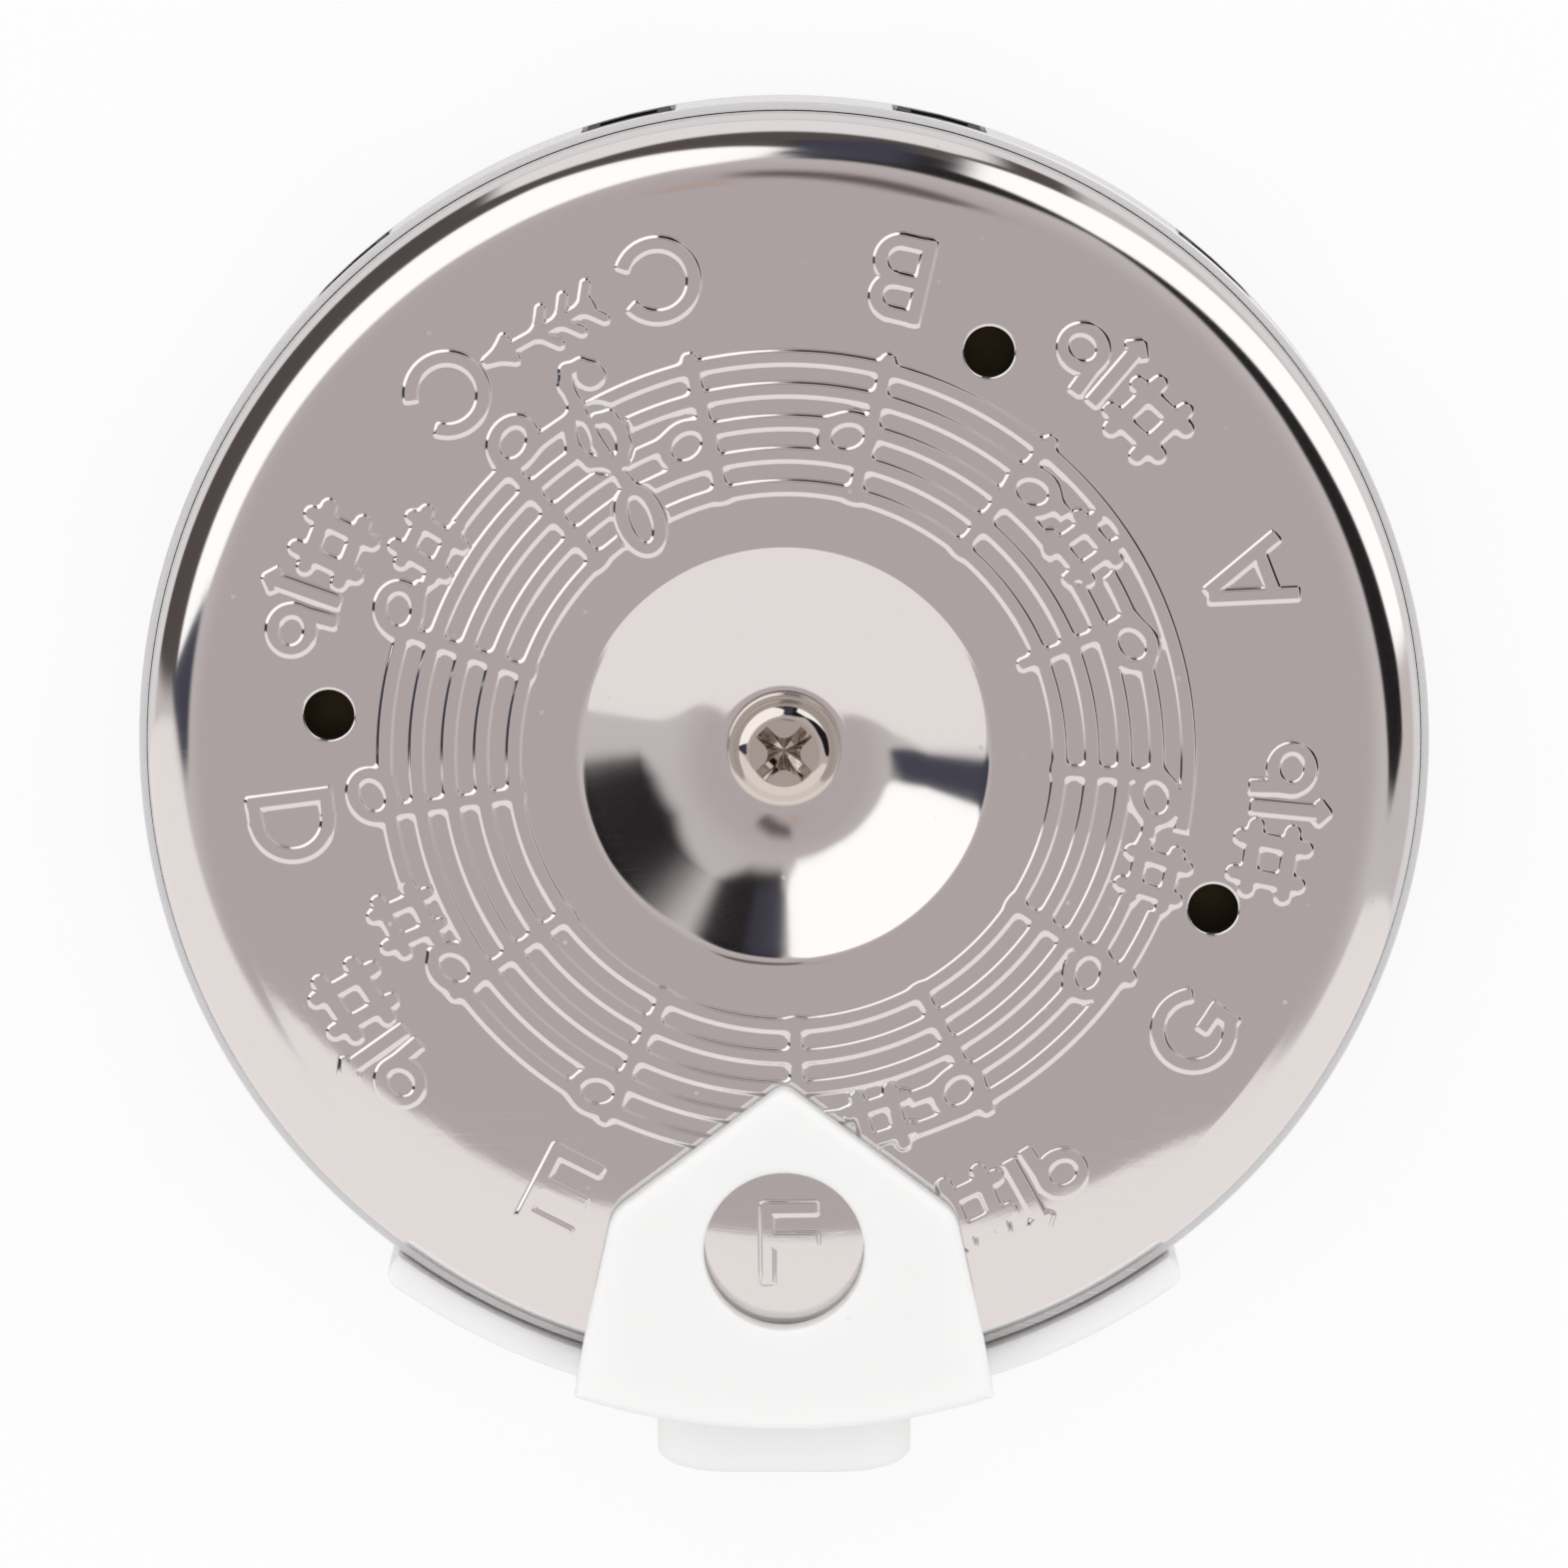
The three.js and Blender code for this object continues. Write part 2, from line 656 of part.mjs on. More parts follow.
// Finishes
const chrome = { color: 0xb9b4b4, roughness: 0.12, metalness: 1.0 };
const nickel = { color: 0xb7aea2, roughness: 0.25, metalness: 1.0 };
const paleBand = { color: 0xd6d5d8, roughness: 0.3, metalness: 1.0 };
const blackPlastic = { color: 0x151413, roughness: 0.5, metalness: 0.0 };
const brass = { color: 0xb08d4a, roughness: 0.35, metalness: 1.0 };
const whitePlastic = { color: 0xf3f1ee, roughness: 0.35, metalness: 0.0 };

const pitchPipe = new THREE.Group();
pitchPipe.position.y = axisY;

// Adds one piece under its name with a finish of its own
function place(name, geometry, finish) {
  const mesh = new THREE.Mesh(geometry, new THREE.MeshStandardMaterial(finish));
  mesh.name = name;
  pitchPipe.add(mesh);
}

place("front_cover", frontCover(), chrome);
place("back_cover", backCover(), chrome);
place("rim_band", rimBand(), paleBand);
place("reed_comb", reedComb(), blackPlastic);
place("reed_plate", reedPlate(), brass);
for (let note = 0; note < noteCount; note++) {
  const number = String(note + 1).padStart(2, "0");
  place(`reed_${number}`, reed(note), brass);
  place(`reed_rivet_${number}`, rivet(note), brass);
}
plateScrewAfter.forEach((note, i) => place(`plate_screw_${i + 1}`, plateScrew(note), nickel));
place("centre_screw", centreScrew(), nickel);
place("centre_washer", centreWasher(), nickel);
place("centre_nut", centreNut(), nickel);
place("selector", selector(), whitePlastic);

export default pitchPipe;
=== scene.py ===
# %% [markdown]
# # A round pitch pipe
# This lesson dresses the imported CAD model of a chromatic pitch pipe. The CAD model gives every
# size and every joint. The script reads it as a fixed frame, builds finer meshes for the pieces
# that show, and gives each piece the finish of the real one: pressed and chromed sheet, nickel,
# brass, black and white plastic.

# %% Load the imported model
import math

import bmesh
import bpy
import numpy as np
from mathutils import Matrix, Vector
from mathutils.geometry import delaunay_2d_cdt


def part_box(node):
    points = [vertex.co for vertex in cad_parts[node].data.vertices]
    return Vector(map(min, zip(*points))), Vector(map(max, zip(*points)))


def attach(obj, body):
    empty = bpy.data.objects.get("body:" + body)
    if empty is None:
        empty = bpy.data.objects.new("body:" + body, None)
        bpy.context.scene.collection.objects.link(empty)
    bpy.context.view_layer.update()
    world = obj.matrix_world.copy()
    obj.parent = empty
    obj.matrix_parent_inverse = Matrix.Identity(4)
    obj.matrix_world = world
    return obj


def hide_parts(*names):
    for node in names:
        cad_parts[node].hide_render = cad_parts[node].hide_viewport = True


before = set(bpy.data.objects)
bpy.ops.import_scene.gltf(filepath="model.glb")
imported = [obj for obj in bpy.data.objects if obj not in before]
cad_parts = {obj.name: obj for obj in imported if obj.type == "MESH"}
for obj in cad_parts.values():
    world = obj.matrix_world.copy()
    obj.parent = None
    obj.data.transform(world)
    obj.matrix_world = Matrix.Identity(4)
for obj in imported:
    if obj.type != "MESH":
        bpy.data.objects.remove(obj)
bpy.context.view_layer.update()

MM = 0.001


def box_mm(node):
    """Lowest and highest corner of a CAD node in millimetres."""
    low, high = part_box(node)
    return low / MM, high / MM


band_low, band_high = box_mm("rim_band")
cover_low, cover_high = box_mm("front_cover")
selector_low, selector_high = box_mm("selector")
AXIS_Y = (band_low.y + band_high.y) / 2
BAND_RADIUS = (band_high.x - band_low.x) / 2
BAND_BOTTOM = band_low.z
BAND_TOP = band_high.z
COVER_RADIUS = (cover_high.x - cover_low.x) / 2
FACE = cover_high.z
PLATE_TOP = selector_high.z
MOUTH_REACH = AXIS_Y - selector_low.y
MID_HEIGHT = (BAND_BOTTOM + BAND_TOP) / 2
print(f"disc {2 * BAND_RADIUS:.1f} mm across, face at {FACE:.2f} mm, axis at y {AXIS_Y:.2f} mm")

# %% [markdown]
# ## Camera
# The photograph looks down on the disc from its far side, tilted by about ten degrees, so a little
# of the rim shows above the disc and none below the mouthpiece. A long lens at a real distance
# gives the same slight narrowing. It is worked out from the photograph's scale on the front face.

# %% Place the camera
PHOTO_WIDTH = 1569
FACE_SCALE = 19.74
CAMERA_TILT = math.radians(9.7)
CAMERA_DISTANCE = 370.0
AIM_Y = -1.26
SENSOR = 36.0

camera_data = bpy.data.cameras.new("camera")
camera_data.sensor_width = SENSOR
camera_data.lens = SENSOR * FACE_SCALE * CAMERA_DISTANCE / PHOTO_WIDTH
camera = bpy.data.objects.new("camera", camera_data)
bpy.context.scene.collection.objects.link(camera)
camera_back = Vector((0, math.sin(CAMERA_TILT), math.cos(CAMERA_TILT)))
camera.location = (Vector((0, AXIS_Y + AIM_Y, FACE)) + CAMERA_DISTANCE * camera_back) * MM
camera.rotation_euler = (-CAMERA_TILT, 0, 0)
bpy.context.scene.camera = camera
bpy.context.scene.view_settings.view_transform = "Standard"
print(f"lens {camera_data.lens:.0f} mm at {CAMERA_DISTANCE:.0f} mm")

# %% [markdown]
# ## Node helpers
# A material is a small program. These helpers add a node, set its plain values and join its
# sockets in one line, so that each finish below reads like a recipe.


# %% Helpers for node trees
def add_node(tree, kind, values=None, **settings):
    """Adds a node, sets its properties, then fills or joins its input sockets."""
    node = tree.nodes.new(kind)
    for key, value in settings.items():
        setattr(node, key, value)
    for socket, value in (values or {}).items():
        if isinstance(value, bpy.types.NodeSocket):
            tree.links.new(value, node.inputs[socket])
        else:
            node.inputs[socket].default_value = value
    return node


def calculate(tree, operation, *terms, clamp=False):
    """A Math node's result."""
    node = add_node(tree, "ShaderNodeMath", dict(enumerate(terms)), operation=operation, use_clamp=clamp)
    return node.outputs[0]


def product(tree, *terms):
    """All terms multiplied, from the first to the last."""
    result = terms[0]
    for term in terms[1:]:
        result = calculate(tree, "MULTIPLY", result, term)
    return result


def soft_step(tree, value, start, end):
    """0 before start, 1 after end, and a smooth rise between them."""
    node = add_node(tree, "ShaderNodeMapRange", {"Value": value, "From Min": start, "From Max": end},
                    interpolation_type="SMOOTHSTEP")
    return node.outputs["Result"]


def blend_colours(tree, share, first, second):
    """Mixes two colours by a share from 0 to 1."""
    return add_node(tree, "ShaderNodeMix", {0: share, 6: first, 7: second}, data_type="RGBA").outputs[2]


# %% [markdown]
# ## Studio
# Polished metal has hardly a colour of its own: it shows the room. The photograph was taken in a
# white tent with a grey card overhead, soft boxes behind the camera and a few dark flags, so the
# room is the main part of the metal's look. One way is to build the cards as lit planes. Here the
# world itself is painted by direction instead, which has no noise and is easy to tune: the angle
# from straight up says how far out a card lies, and the bearing round the object says where.

# %% Read the direction off
GREY_CARD = (0.452, 0.403, 0.402, 1)
LIGHT_CARD = (0.56, 0.52, 0.515, 1)
PALE_CARD = (0.83, 0.785, 0.77, 1)
SOFT_BOX = (1.12, 1.10, 1.09, 1)
DIM_BOX = (0.80, 0.77, 0.765, 1)
DARK_FLAG = (0.014, 0.011, 0.013, 1)
BROWN_FLAG = (0.085, 0.07, 0.068, 1)
BLUE_FLAG = (0.05, 0.05, 0.072, 1)
LENS_SHADE = (0.13, 0.10, 0.10, 1)
WARM_SPOT = (0.45, 0.34, 0.30, 1)
FLOOR_GLOW = (0.72, 0.70, 0.70, 1)
BACKGROUND = (1, 1, 1, 1)
DIM_SIDE = (0.76, 0.76, 0.765, 1)
BRIGHT_SIDE = (1.24, 1.23, 1.215, 1)

world = bpy.data.worlds.new("studio")
bpy.context.scene.world = world
world.use_nodes = True
room = world.node_tree
room.nodes.clear()
direction = add_node(room, "ShaderNodeTexCoord").outputs["Generated"]
parts = add_node(room, "ShaderNodeSeparateXYZ", {0: direction})
from_zenith = product(room, calculate(room, "ARCCOSINE", parts.outputs[2]), math.degrees(1))
bearing = product(room, calculate(room, "ARCTAN2", parts.outputs[1], parts.outputs[0]), math.degrees(1))
bearing = calculate(room, "WRAP", bearing, 270, -90)
from_front = calculate(room, "WRAP", calculate(room, "ADD", bearing, 90), 180, -180)


def follow(value, points):
    """Reads a value off a line through points, each with its place along and its height."""
    places, heights = zip(*points)
    low, high = min(heights), max(heights)
    curve = add_node(room, "ShaderNodeFloatCurve",
                     {"Value": add_node(room, "ShaderNodeMapRange",
                                        {"Value": value, "From Min": places[0],
                                         "From Max": places[-1]}).outputs["Result"]})
    line = curve.mapping.curves[0]
    while len(line.points) < len(points):
        line.points.new(0.5, 0.5)
    for knot, (place, height) in zip(line.points, points):
        knot.location = ((place - places[0]) / (places[-1] - places[0]),
                         (height - low) / max(high - low, 1e-6))
        knot.handle_type = "VECTOR"
    curve.mapping.update()
    return calculate(room, "MULTIPLY_ADD", curve.outputs[0], high - low, low)


def card(inner, outer, soft=4, soft_sides=4):
    """Share of a card between two lines of bearing and angle from straight up, in degrees."""
    near = calculate(room, "SUBTRACT", from_zenith, follow(bearing, inner))
    far = calculate(room, "SUBTRACT", follow(bearing, outer), from_zenith)
    return product(
        room, soft_step(room, near, -soft / 2, soft / 2), soft_step(room, far, -soft / 2, soft / 2),
        soft_step(room, bearing, inner[0][0] - soft_sides / 2, inner[0][0] + soft_sides / 2),
        soft_step(room, bearing, inner[-1][0] + soft_sides / 2, inner[-1][0] - soft_sides / 2))


# %% [markdown]
# Each card has a colour, a softness, and two lines of points, its inner and its outer border. A
# point says at which bearing, counted from the right-hand side, how far from straight up the border
# lies. The pale card in front is cut off by a straight edge, which leans a little, and by a curve at
# either end. Matt pieces take an even light instead, brighter from the far side, and the camera sees
# plain white.

# %% Hang the cards
CARDS = (
    ("brown flag", BROWN_FLAG, 5, ((58, 96), (70, 66), (88, 52), (183, 60)), ((58, 125), (183, 125))),
    ("dark flag", DARK_FLAG, 6,
     ((-14, 66), (-8, 60), (0, 56), (20, 51), (44, 54), (54, 56), (62, 50), (70, 46), (89, 45)),
     ((-14, 76), (-8, 92), (3, 92), (60, 80), (89, 76))),
    ("front box", SOFT_BOX, 5, ((0, 92), (5, 87), (20, 76), (40, 67), (54, 60), (62, 61), (70, 63)),
     ((0, 125), (30, 118), (50, 106), (70, 93))),
    ("blue edge", BLUE_FLAG, 10, ((76, 52), (89, 48)), ((76, 92), (89, 74))),
    ("side box", SOFT_BOX, 5, ((90, 58), (93, 47), (99, 42), (125, 41), (150, 43), (172, 46), (181, 54)),
     ((90, 63), (96, 69), (117, 85), (130, 83), (150, 81), (181, 79))),
    ("low box", DIM_BOX, 5, ((67, 103), (72, 97), (88, 95), (110, 96), (122, 103)),
     ((67, 125), (122, 125))),
    ("blue strip", BLUE_FLAG, 8, ((176, 50), (193, 47)), ((176, 56), (182, 86), (188, 68), (193, 56))),
    ("lens shade", LENS_SHADE, 11, ((60, 8), (78, 12), (97, 17)), ((60, 20), (78, 25), (97, 26))),
    ("warm spot", WARM_SPOT, 9, ((100, 9), (113, 8)), ((100, 17), (113, 15))),
)
CARD_FADE = (24, 60)
FLOOR_FADE = (118, 128)
overhead = blend_colours(room, soft_step(room, from_zenith, *CARD_FADE), GREY_CARD, LIGHT_CARD)
seen = blend_colours(room, soft_step(room, from_zenith, *FLOOR_FADE), overhead, FLOOR_GLOW)
for label, colour, soft, inner, outer in CARDS:
    seen = blend_colours(room, card(inner, outer, soft), seen, colour)

# %% Add the pale front card and the light for matt pieces
FRONT_EDGE = 0.2475
FRONT_LEAN = 0.148
FRONT_SOFT = 0.002
PALE_SIDES = (
    ("SUBTRACT", ((0, 26), (15, 28), (25, 40), (45, 50), (67, 74), (80, 82), (90, 89), (180, 94))),
    ("ADD", ((0, 28), (15, 31), (30, 47), (45, 62), (60, 77), (80, 86), (110, 88), (180, 90))),
)
SIDE_SOFT = 3
edge_side = calculate(room, "MULTIPLY_ADD", parts.outputs[0], FRONT_LEAN, parts.outputs[1])
pale_share = soft_step(room, edge_side, -FRONT_EDGE + FRONT_SOFT, -FRONT_EDGE - FRONT_SOFT)
for operation, end in PALE_SIDES:
    inside = calculate(room, operation, follow(from_zenith, end), from_front)
    pale_share = product(room, pale_share, soft_step(room, inside, -SIDE_SOFT, SIDE_SOFT))
seen = blend_colours(room, pale_share, seen, PALE_CARD)

path = add_node(room, "ShaderNodeLightPath")
from_back = soft_step(room, parts.outputs[1], -1, 1)
soft_light = blend_colours(room, from_back, DIM_SIDE, BRIGHT_SIDE)
lit = blend_colours(room, path.outputs["Is Glossy Ray"], soft_light, seen)
shown = blend_colours(room, path.outputs["Is Camera Ray"], lit, BACKGROUND)
sky = add_node(room, "ShaderNodeBackground", {"Color": shown, "Strength": 1.0})
add_node(room, "ShaderNodeOutputWorld", {"Surface": sky.outputs[0]})
print(f"room painted with {len(room.nodes)} nodes")

# %% [markdown]
# ## Floor
# The disc lies on a plain white table. To the camera the table is white by its own colour, and it
# still takes the soft shadow of the object, because only part of that white is given and the rest
# is light that it receives.

# %% Build the floor
FLOOR_HALF = 3.0
FLOOR_SINK = 0.02 * MM
TABLE_WHITE = (0.93, 0.93, 0.93, 1)
GIVEN_SHARE = 0.83
floor_mesh = bpy.data.meshes.new("floor")
floor_mesh.from_pydata([(x * FLOOR_HALF, y * FLOOR_HALF, -FLOOR_SINK)
                        for x, y in ((-1, -1), (1, -1), (1, 1), (-1, 1))], [], [(0, 1, 2, 3)])
floor = bpy.data.objects.new("floor", floor_mesh)
bpy.context.scene.collection.objects.link(floor)
floor.visible_glossy = False

floor_material = bpy.data.materials.new("white table")
floor_material.use_nodes = True
table = floor_material.node_tree
table.nodes.clear()
table_light = add_node(table, "ShaderNodeLightPath")
received = add_node(table, "ShaderNodeBsdfDiffuse", {"Color": TABLE_WHITE})
given = add_node(table, "ShaderNodeEmission", {"Color": BACKGROUND, "Strength": 1.0})
to_camera = product(table, table_light.outputs["Is Camera Ray"], GIVEN_SHARE)
table_look = add_node(table, "ShaderNodeMixShader",
                      {0: to_camera, 1: received.outputs[0], 2: given.outputs[0]})
add_node(table, "ShaderNodeOutputMaterial", {0: table_look.outputs[0]})
floor_mesh.materials.append(floor_material)

# %% [markdown]
# ## Shared surface effects
# Several finishes carry the same kinds of marks: hair-fine scratches from handling, specks of
# dust, slight waves in the sheet and fine marks from turning. Each is a node group that puts out a
# mask or a height, built once and placed in each material with its own values.


# %% Start a node group
def new_group(name, inputs, outputs):
    """An empty node group with named sockets, its input node and its output node."""
    group = bpy.data.node_groups.new(name, "ShaderNodeTree")
    for label, kind, value in inputs:
        socket = group.interface.new_socket(name=label, in_out="INPUT", socket_type=kind)
        if value is not None:
            socket.default_value = value
    for label in outputs:
        group.interface.new_socket(name=label, in_out="OUTPUT", socket_type="NodeSocketFloat")
    return group, group.nodes.new("NodeGroupInput"), group.nodes.new("NodeGroupOutput")


# %% Group: handling scratches
scratch_group, given_in, put_out = new_group(
    "handling scratches",
    [("Vector", "NodeSocketVector", None), ("Fineness", "NodeSocketFloat", 1.0),
     ("Amount", "NodeSocketFloat", 0.5)], ["Mask"])
SCRATCH_TURNS = (0.3, 1.15, 2.0, 2.75)
SCRATCH_STRETCH = (90, 5200, 300)
SCRATCH_LINE = (0.69, 0.76)
WORN_PATCH = (0.35, 0.7)
total = None
for index, turn in enumerate(SCRATCH_TURNS):
    layer = add_node(scratch_group, "ShaderNodeMapping",
                     {"Vector": given_in.outputs["Vector"], "Rotation": (0, 0, turn),
                      "Location": (0.37 * index, 0.11 * index, 0), "Scale": SCRATCH_STRETCH})
    sized = add_node(scratch_group, "ShaderNodeVectorMath",
                     {0: layer.outputs[0], "Scale": given_in.outputs["Fineness"]}, operation="SCALE")
    grain = add_node(scratch_group, "ShaderNodeTexNoise",
                     {"Vector": sized.outputs[0], "Scale": 1.0, "Detail": 1.0, "Roughness": 0.4})
    line = soft_step(scratch_group, grain.outputs[0], *SCRATCH_LINE)
    total = line if total is None else calculate(scratch_group, "MAXIMUM", total, line)
patches = add_node(scratch_group, "ShaderNodeTexNoise",
                   {"Vector": given_in.outputs["Vector"], "Scale": 95.0, "Detail": 2.0})
worn = soft_step(scratch_group, patches.outputs[0], *WORN_PATCH)
marks = product(scratch_group, total, worn, given_in.outputs["Amount"])
scratch_group.links.new(marks, put_out.inputs["Mask"])

# %% Group: specks of dust
dust_group, given_in, put_out = new_group(
    "dust specks", [("Vector", "NodeSocketVector", None), ("Amount", "NodeSocketFloat", 0.5)], ["Mask"])
DUST_CELLS = 900.0
SPECK_SIZE = (0.16, 0.05)
SPECK_CHOICE = (0.93, 0.97)
cells = add_node(dust_group, "ShaderNodeTexVoronoi",
                 {"Vector": given_in.outputs["Vector"], "Scale": DUST_CELLS}, feature="F1")
tone = add_node(dust_group, "ShaderNodeSeparateColor", {0: cells.outputs["Color"]})
near = soft_step(dust_group, cells.outputs["Distance"], *SPECK_SIZE)
chosen = soft_step(dust_group, tone.outputs[0], *SPECK_CHOICE)
specks = product(dust_group, near, chosen, given_in.outputs["Amount"])
dust_group.links.new(specks, put_out.inputs["Mask"])

# %% Group: waves of a pressed sheet
wave_group, given_in, put_out = new_group(
    "pressed sheet waves", [("Vector", "NodeSocketVector", None)], ["Height"])
FAST_SHARE = 0.03
slow = add_node(wave_group, "ShaderNodeTexNoise",
                {"Vector": given_in.outputs["Vector"], "Scale": 150.0, "Detail": 1.0, "Roughness": 0.4})
fast = add_node(wave_group, "ShaderNodeTexNoise",
                {"Vector": given_in.outputs["Vector"], "Scale": 1100.0, "Detail": 3.0, "Roughness": 0.6})
height = calculate(wave_group, "ADD", slow.outputs[0], product(wave_group, fast.outputs[0], FAST_SHARE))
wave_group.links.new(height, put_out.inputs["Height"])

# %% Group: turning marks round the axis
TURN_SPREAD = 2.2
turning_group, given_in, put_out = new_group(
    "turning marks", [("Vector", "NodeSocketVector", None), ("Lines", "NodeSocketFloat", 3000.0)],
    ["Height", "Reach"])
from_axis = add_node(turning_group, "ShaderNodeVectorMath",
                     {0: given_in.outputs["Vector"], 1: (0, AXIS_Y * MM, 0)}, operation="SUBTRACT")
sides = add_node(turning_group, "ShaderNodeSeparateXYZ", {0: from_axis.outputs[0]})
squares = [product(turning_group, side, side) for side in sides.outputs[:2]]
reach = calculate(turning_group, "SQRT", calculate(turning_group, "ADD", *squares))
turn = calculate(turning_group, "ARCTAN2", sides.outputs[1], sides.outputs[0])
unrolled = add_node(turning_group, "ShaderNodeCombineXYZ",
                    {0: product(turning_group, reach, given_in.outputs["Lines"]),
                     1: product(turning_group, turn, TURN_SPREAD), 2: sides.outputs[2]})
rings = add_node(turning_group, "ShaderNodeTexNoise",
                 {"Vector": unrolled.outputs[0], "Scale": 1.0, "Detail": 3.0, "Roughness": 0.7})
turning_group.links.new(rings.outputs[0], put_out.inputs["Height"])
turning_group.links.new(reach, put_out.inputs["Reach"])


# %% Start a material
def new_finish(name, colour, metallic, roughness):
    """A material with its shader, its tree and the object's own coordinates."""
    material = bpy.data.materials.new(name)
    material.use_nodes = True
    material.diffuse_color = (*colour, 1)
    tree = material.node_tree
    shader = tree.nodes["Principled BSDF"]
    shader.inputs["Base Color"].default_value = (*colour, 1)
    shader.inputs["Metallic"].default_value = metallic
    shader.inputs["Roughness"].default_value = roughness
    place = add_node(tree, "ShaderNodeTexCoord").outputs["Object"]
    return material, tree, shader, place


def place_group(tree, group, values):
    """The first output of a node group placed in a material."""
    return add_node(tree, "ShaderNodeGroup", values, node_tree=group).outputs[0]


def give_relief(tree, shader, height, distance, normal=None):
    """A bump from a height from 0 to 1, its full height in metres."""
    values = {"Strength": 1.0, "Distance": distance, "Height": height}
    if normal is not None:
        values["Normal"] = normal
    bump = add_node(tree, "ShaderNodeBump", values)
    tree.links.new(bump.outputs[0], shader.inputs["Normal"])
    return bump.outputs[0]


def give_haze(tree, shader, place, base, share, fineness, amount):
    """A roughness that handling scratches raise by a share of their mask."""
    scratches = place_group(tree, scratch_group, {"Vector": place, "Fineness": fineness, "Amount": amount})
    haze = calculate(tree, "ADD", product(tree, scratches, share), base)
    tree.links.new(haze, shader.inputs["Roughness"])


def give_grain(tree, shader, place, scale, detail, height):
    """A fine grain, as the mould or the mill leaves it, its full height in metres."""
    grain = add_node(tree, "ShaderNodeTexNoise", {"Vector": place, "Scale": scale, "Detail": detail})
    give_relief(tree, shader, grain.outputs[0], height)


# %% [markdown]
# ## Chrome
# The covers are pressed from thin steel sheet and chromed. The plating is a clear mirror on which
# the sheet's own slight waves bend the reflections. Wiping leaves hair-fine scratches, which show
# as a faint haze, and a few specks of dust catch the light. The dish and the rolled edge were
# stretched further in the press than the flat ring, so the plating is a little hazier there.

# %% Make the chrome
CHROME = (0.90, 0.885, 0.88)
DUSTY = (0.97, 0.96, 0.95, 1)
DISH_RADIUS = 11.0
ROLL_WIDTH = 3.75
FLAT_RADIUS = COVER_RADIUS - ROLL_WIDTH
MIRROR_HAZE = 0.035
SCRATCH_HAZE = 0.1
STRETCH_HAZE = 0.06
DUST_HAZE = 0.4
WAVE_HEIGHT = 0.012 * MM
TURNED_HEIGHT = 0.0003 * MM
chrome, tree, shader, place = new_finish("chromed sheet", CHROME, 1.0, 0.05)
scratches = place_group(tree, scratch_group, {"Vector": place, "Fineness": 1.6, "Amount": 0.35})
dust = place_group(tree, dust_group, {"Vector": place, "Amount": 0.6})
turned_lines = place_group(tree, turning_group, {"Vector": place, "Lines": 2600.0})
reach = turned_lines.node.outputs["Reach"]
dished = soft_step(tree, reach, (DISH_RADIUS + 0.2) * MM, (DISH_RADIUS - 1.4) * MM)
rolled_over = soft_step(tree, reach, (FLAT_RADIUS - 0.55) * MM, (FLAT_RADIUS + 0.65) * MM)
haze = calculate(tree, "ADD", product(tree, scratches, SCRATCH_HAZE), MIRROR_HAZE)
stretched = calculate(tree, "MAXIMUM", dished, rolled_over)
haze = calculate(tree, "MULTIPLY_ADD", stretched, STRETCH_HAZE, haze)
haze = calculate(tree, "ADD", haze, product(tree, dust, DUST_HAZE))
tree.links.new(haze, shader.inputs["Roughness"])
tree.links.new(blend_colours(tree, dust, (*CHROME, 1), DUSTY), shader.inputs["Base Color"])
waves = place_group(tree, wave_group, {"Vector": place})
bent = give_relief(tree, shader, waves, WAVE_HEIGHT)
give_relief(tree, shader, turned_lines, TURNED_HEIGHT, bent)
print(f"chrome made, the flat ring lies between {DISH_RADIUS:.1f} and {FLAT_RADIUS:.2f} mm")

# %% [markdown]
# ## Relief of the scale
# The scale is pressed into the cover: a raised staff of five lines bent into a ring, with bar
# lines, ring-shaped note heads and small sharps, a clef, and one name for each of the thirteen
# notes. A bump texture would look flat from the side, and a dense displaced grid would waste
# points on flat metal. So the relief is drawn as a field of distances first. In such a field each
# shape is a short formula, shapes join by taking the lower distance, and the lines of equal
# distance are the foot, the slope and the top edge of the pressed shape.

# %% Prepare the field
FIELD_STEP = 0.08
FIELD_HALF = FLAT_RADIUS + 0.4
NOTE_COUNT = 13
PITCH = 360 / NOTE_COUNT
SELECTED_NOTE = 5
FAR_AWAY = 9.0
CORNER_ROUNDING = 0.16
ticks = np.arange(-FIELD_HALF, FIELD_HALF + FIELD_STEP, FIELD_STEP)
grid_x, grid_y = np.meshgrid(ticks, ticks)
field = np.full(grid_x.shape, FAR_AWAY)


def on_disc(bearing_cw, reach):
    """Point at a bearing, clockwise from the far side in degrees, and a distance from the axis."""
    a = math.radians(bearing_cw)
    return np.array((reach * math.sin(a), reach * math.cos(a)))


def smooth_least(first, second, rounding):
    """The lower of two distances, with the inner corner between the shapes filled round."""
    share = np.clip(0.5 + 0.5 * (second - first) / rounding, 0, 1)
    return second + (first - second) * share - rounding * share * (1 - share)


# %% Strokes as distances
def plank(start, end, width, rounding=CORNER_ROUNDING):
    """Straight stroke with square ends and rounded corners."""
    start, end = np.array(start, float), np.array(end, float)
    along = (end - start) / np.linalg.norm(end - start)
    middle, half = (start + end) / 2, np.linalg.norm(end - start) / 2 - rounding

    def distance(u, v):
        s = np.abs((u - middle[0]) * along[0] + (v - middle[1]) * along[1]) - half
        t = np.abs((v - middle[1]) * along[0] - (u - middle[0]) * along[1]) - width / 2 + rounding
        return np.hypot(np.maximum(s, 0), np.maximum(t, 0)) + np.minimum(np.maximum(s, t), 0) - rounding
    return distance


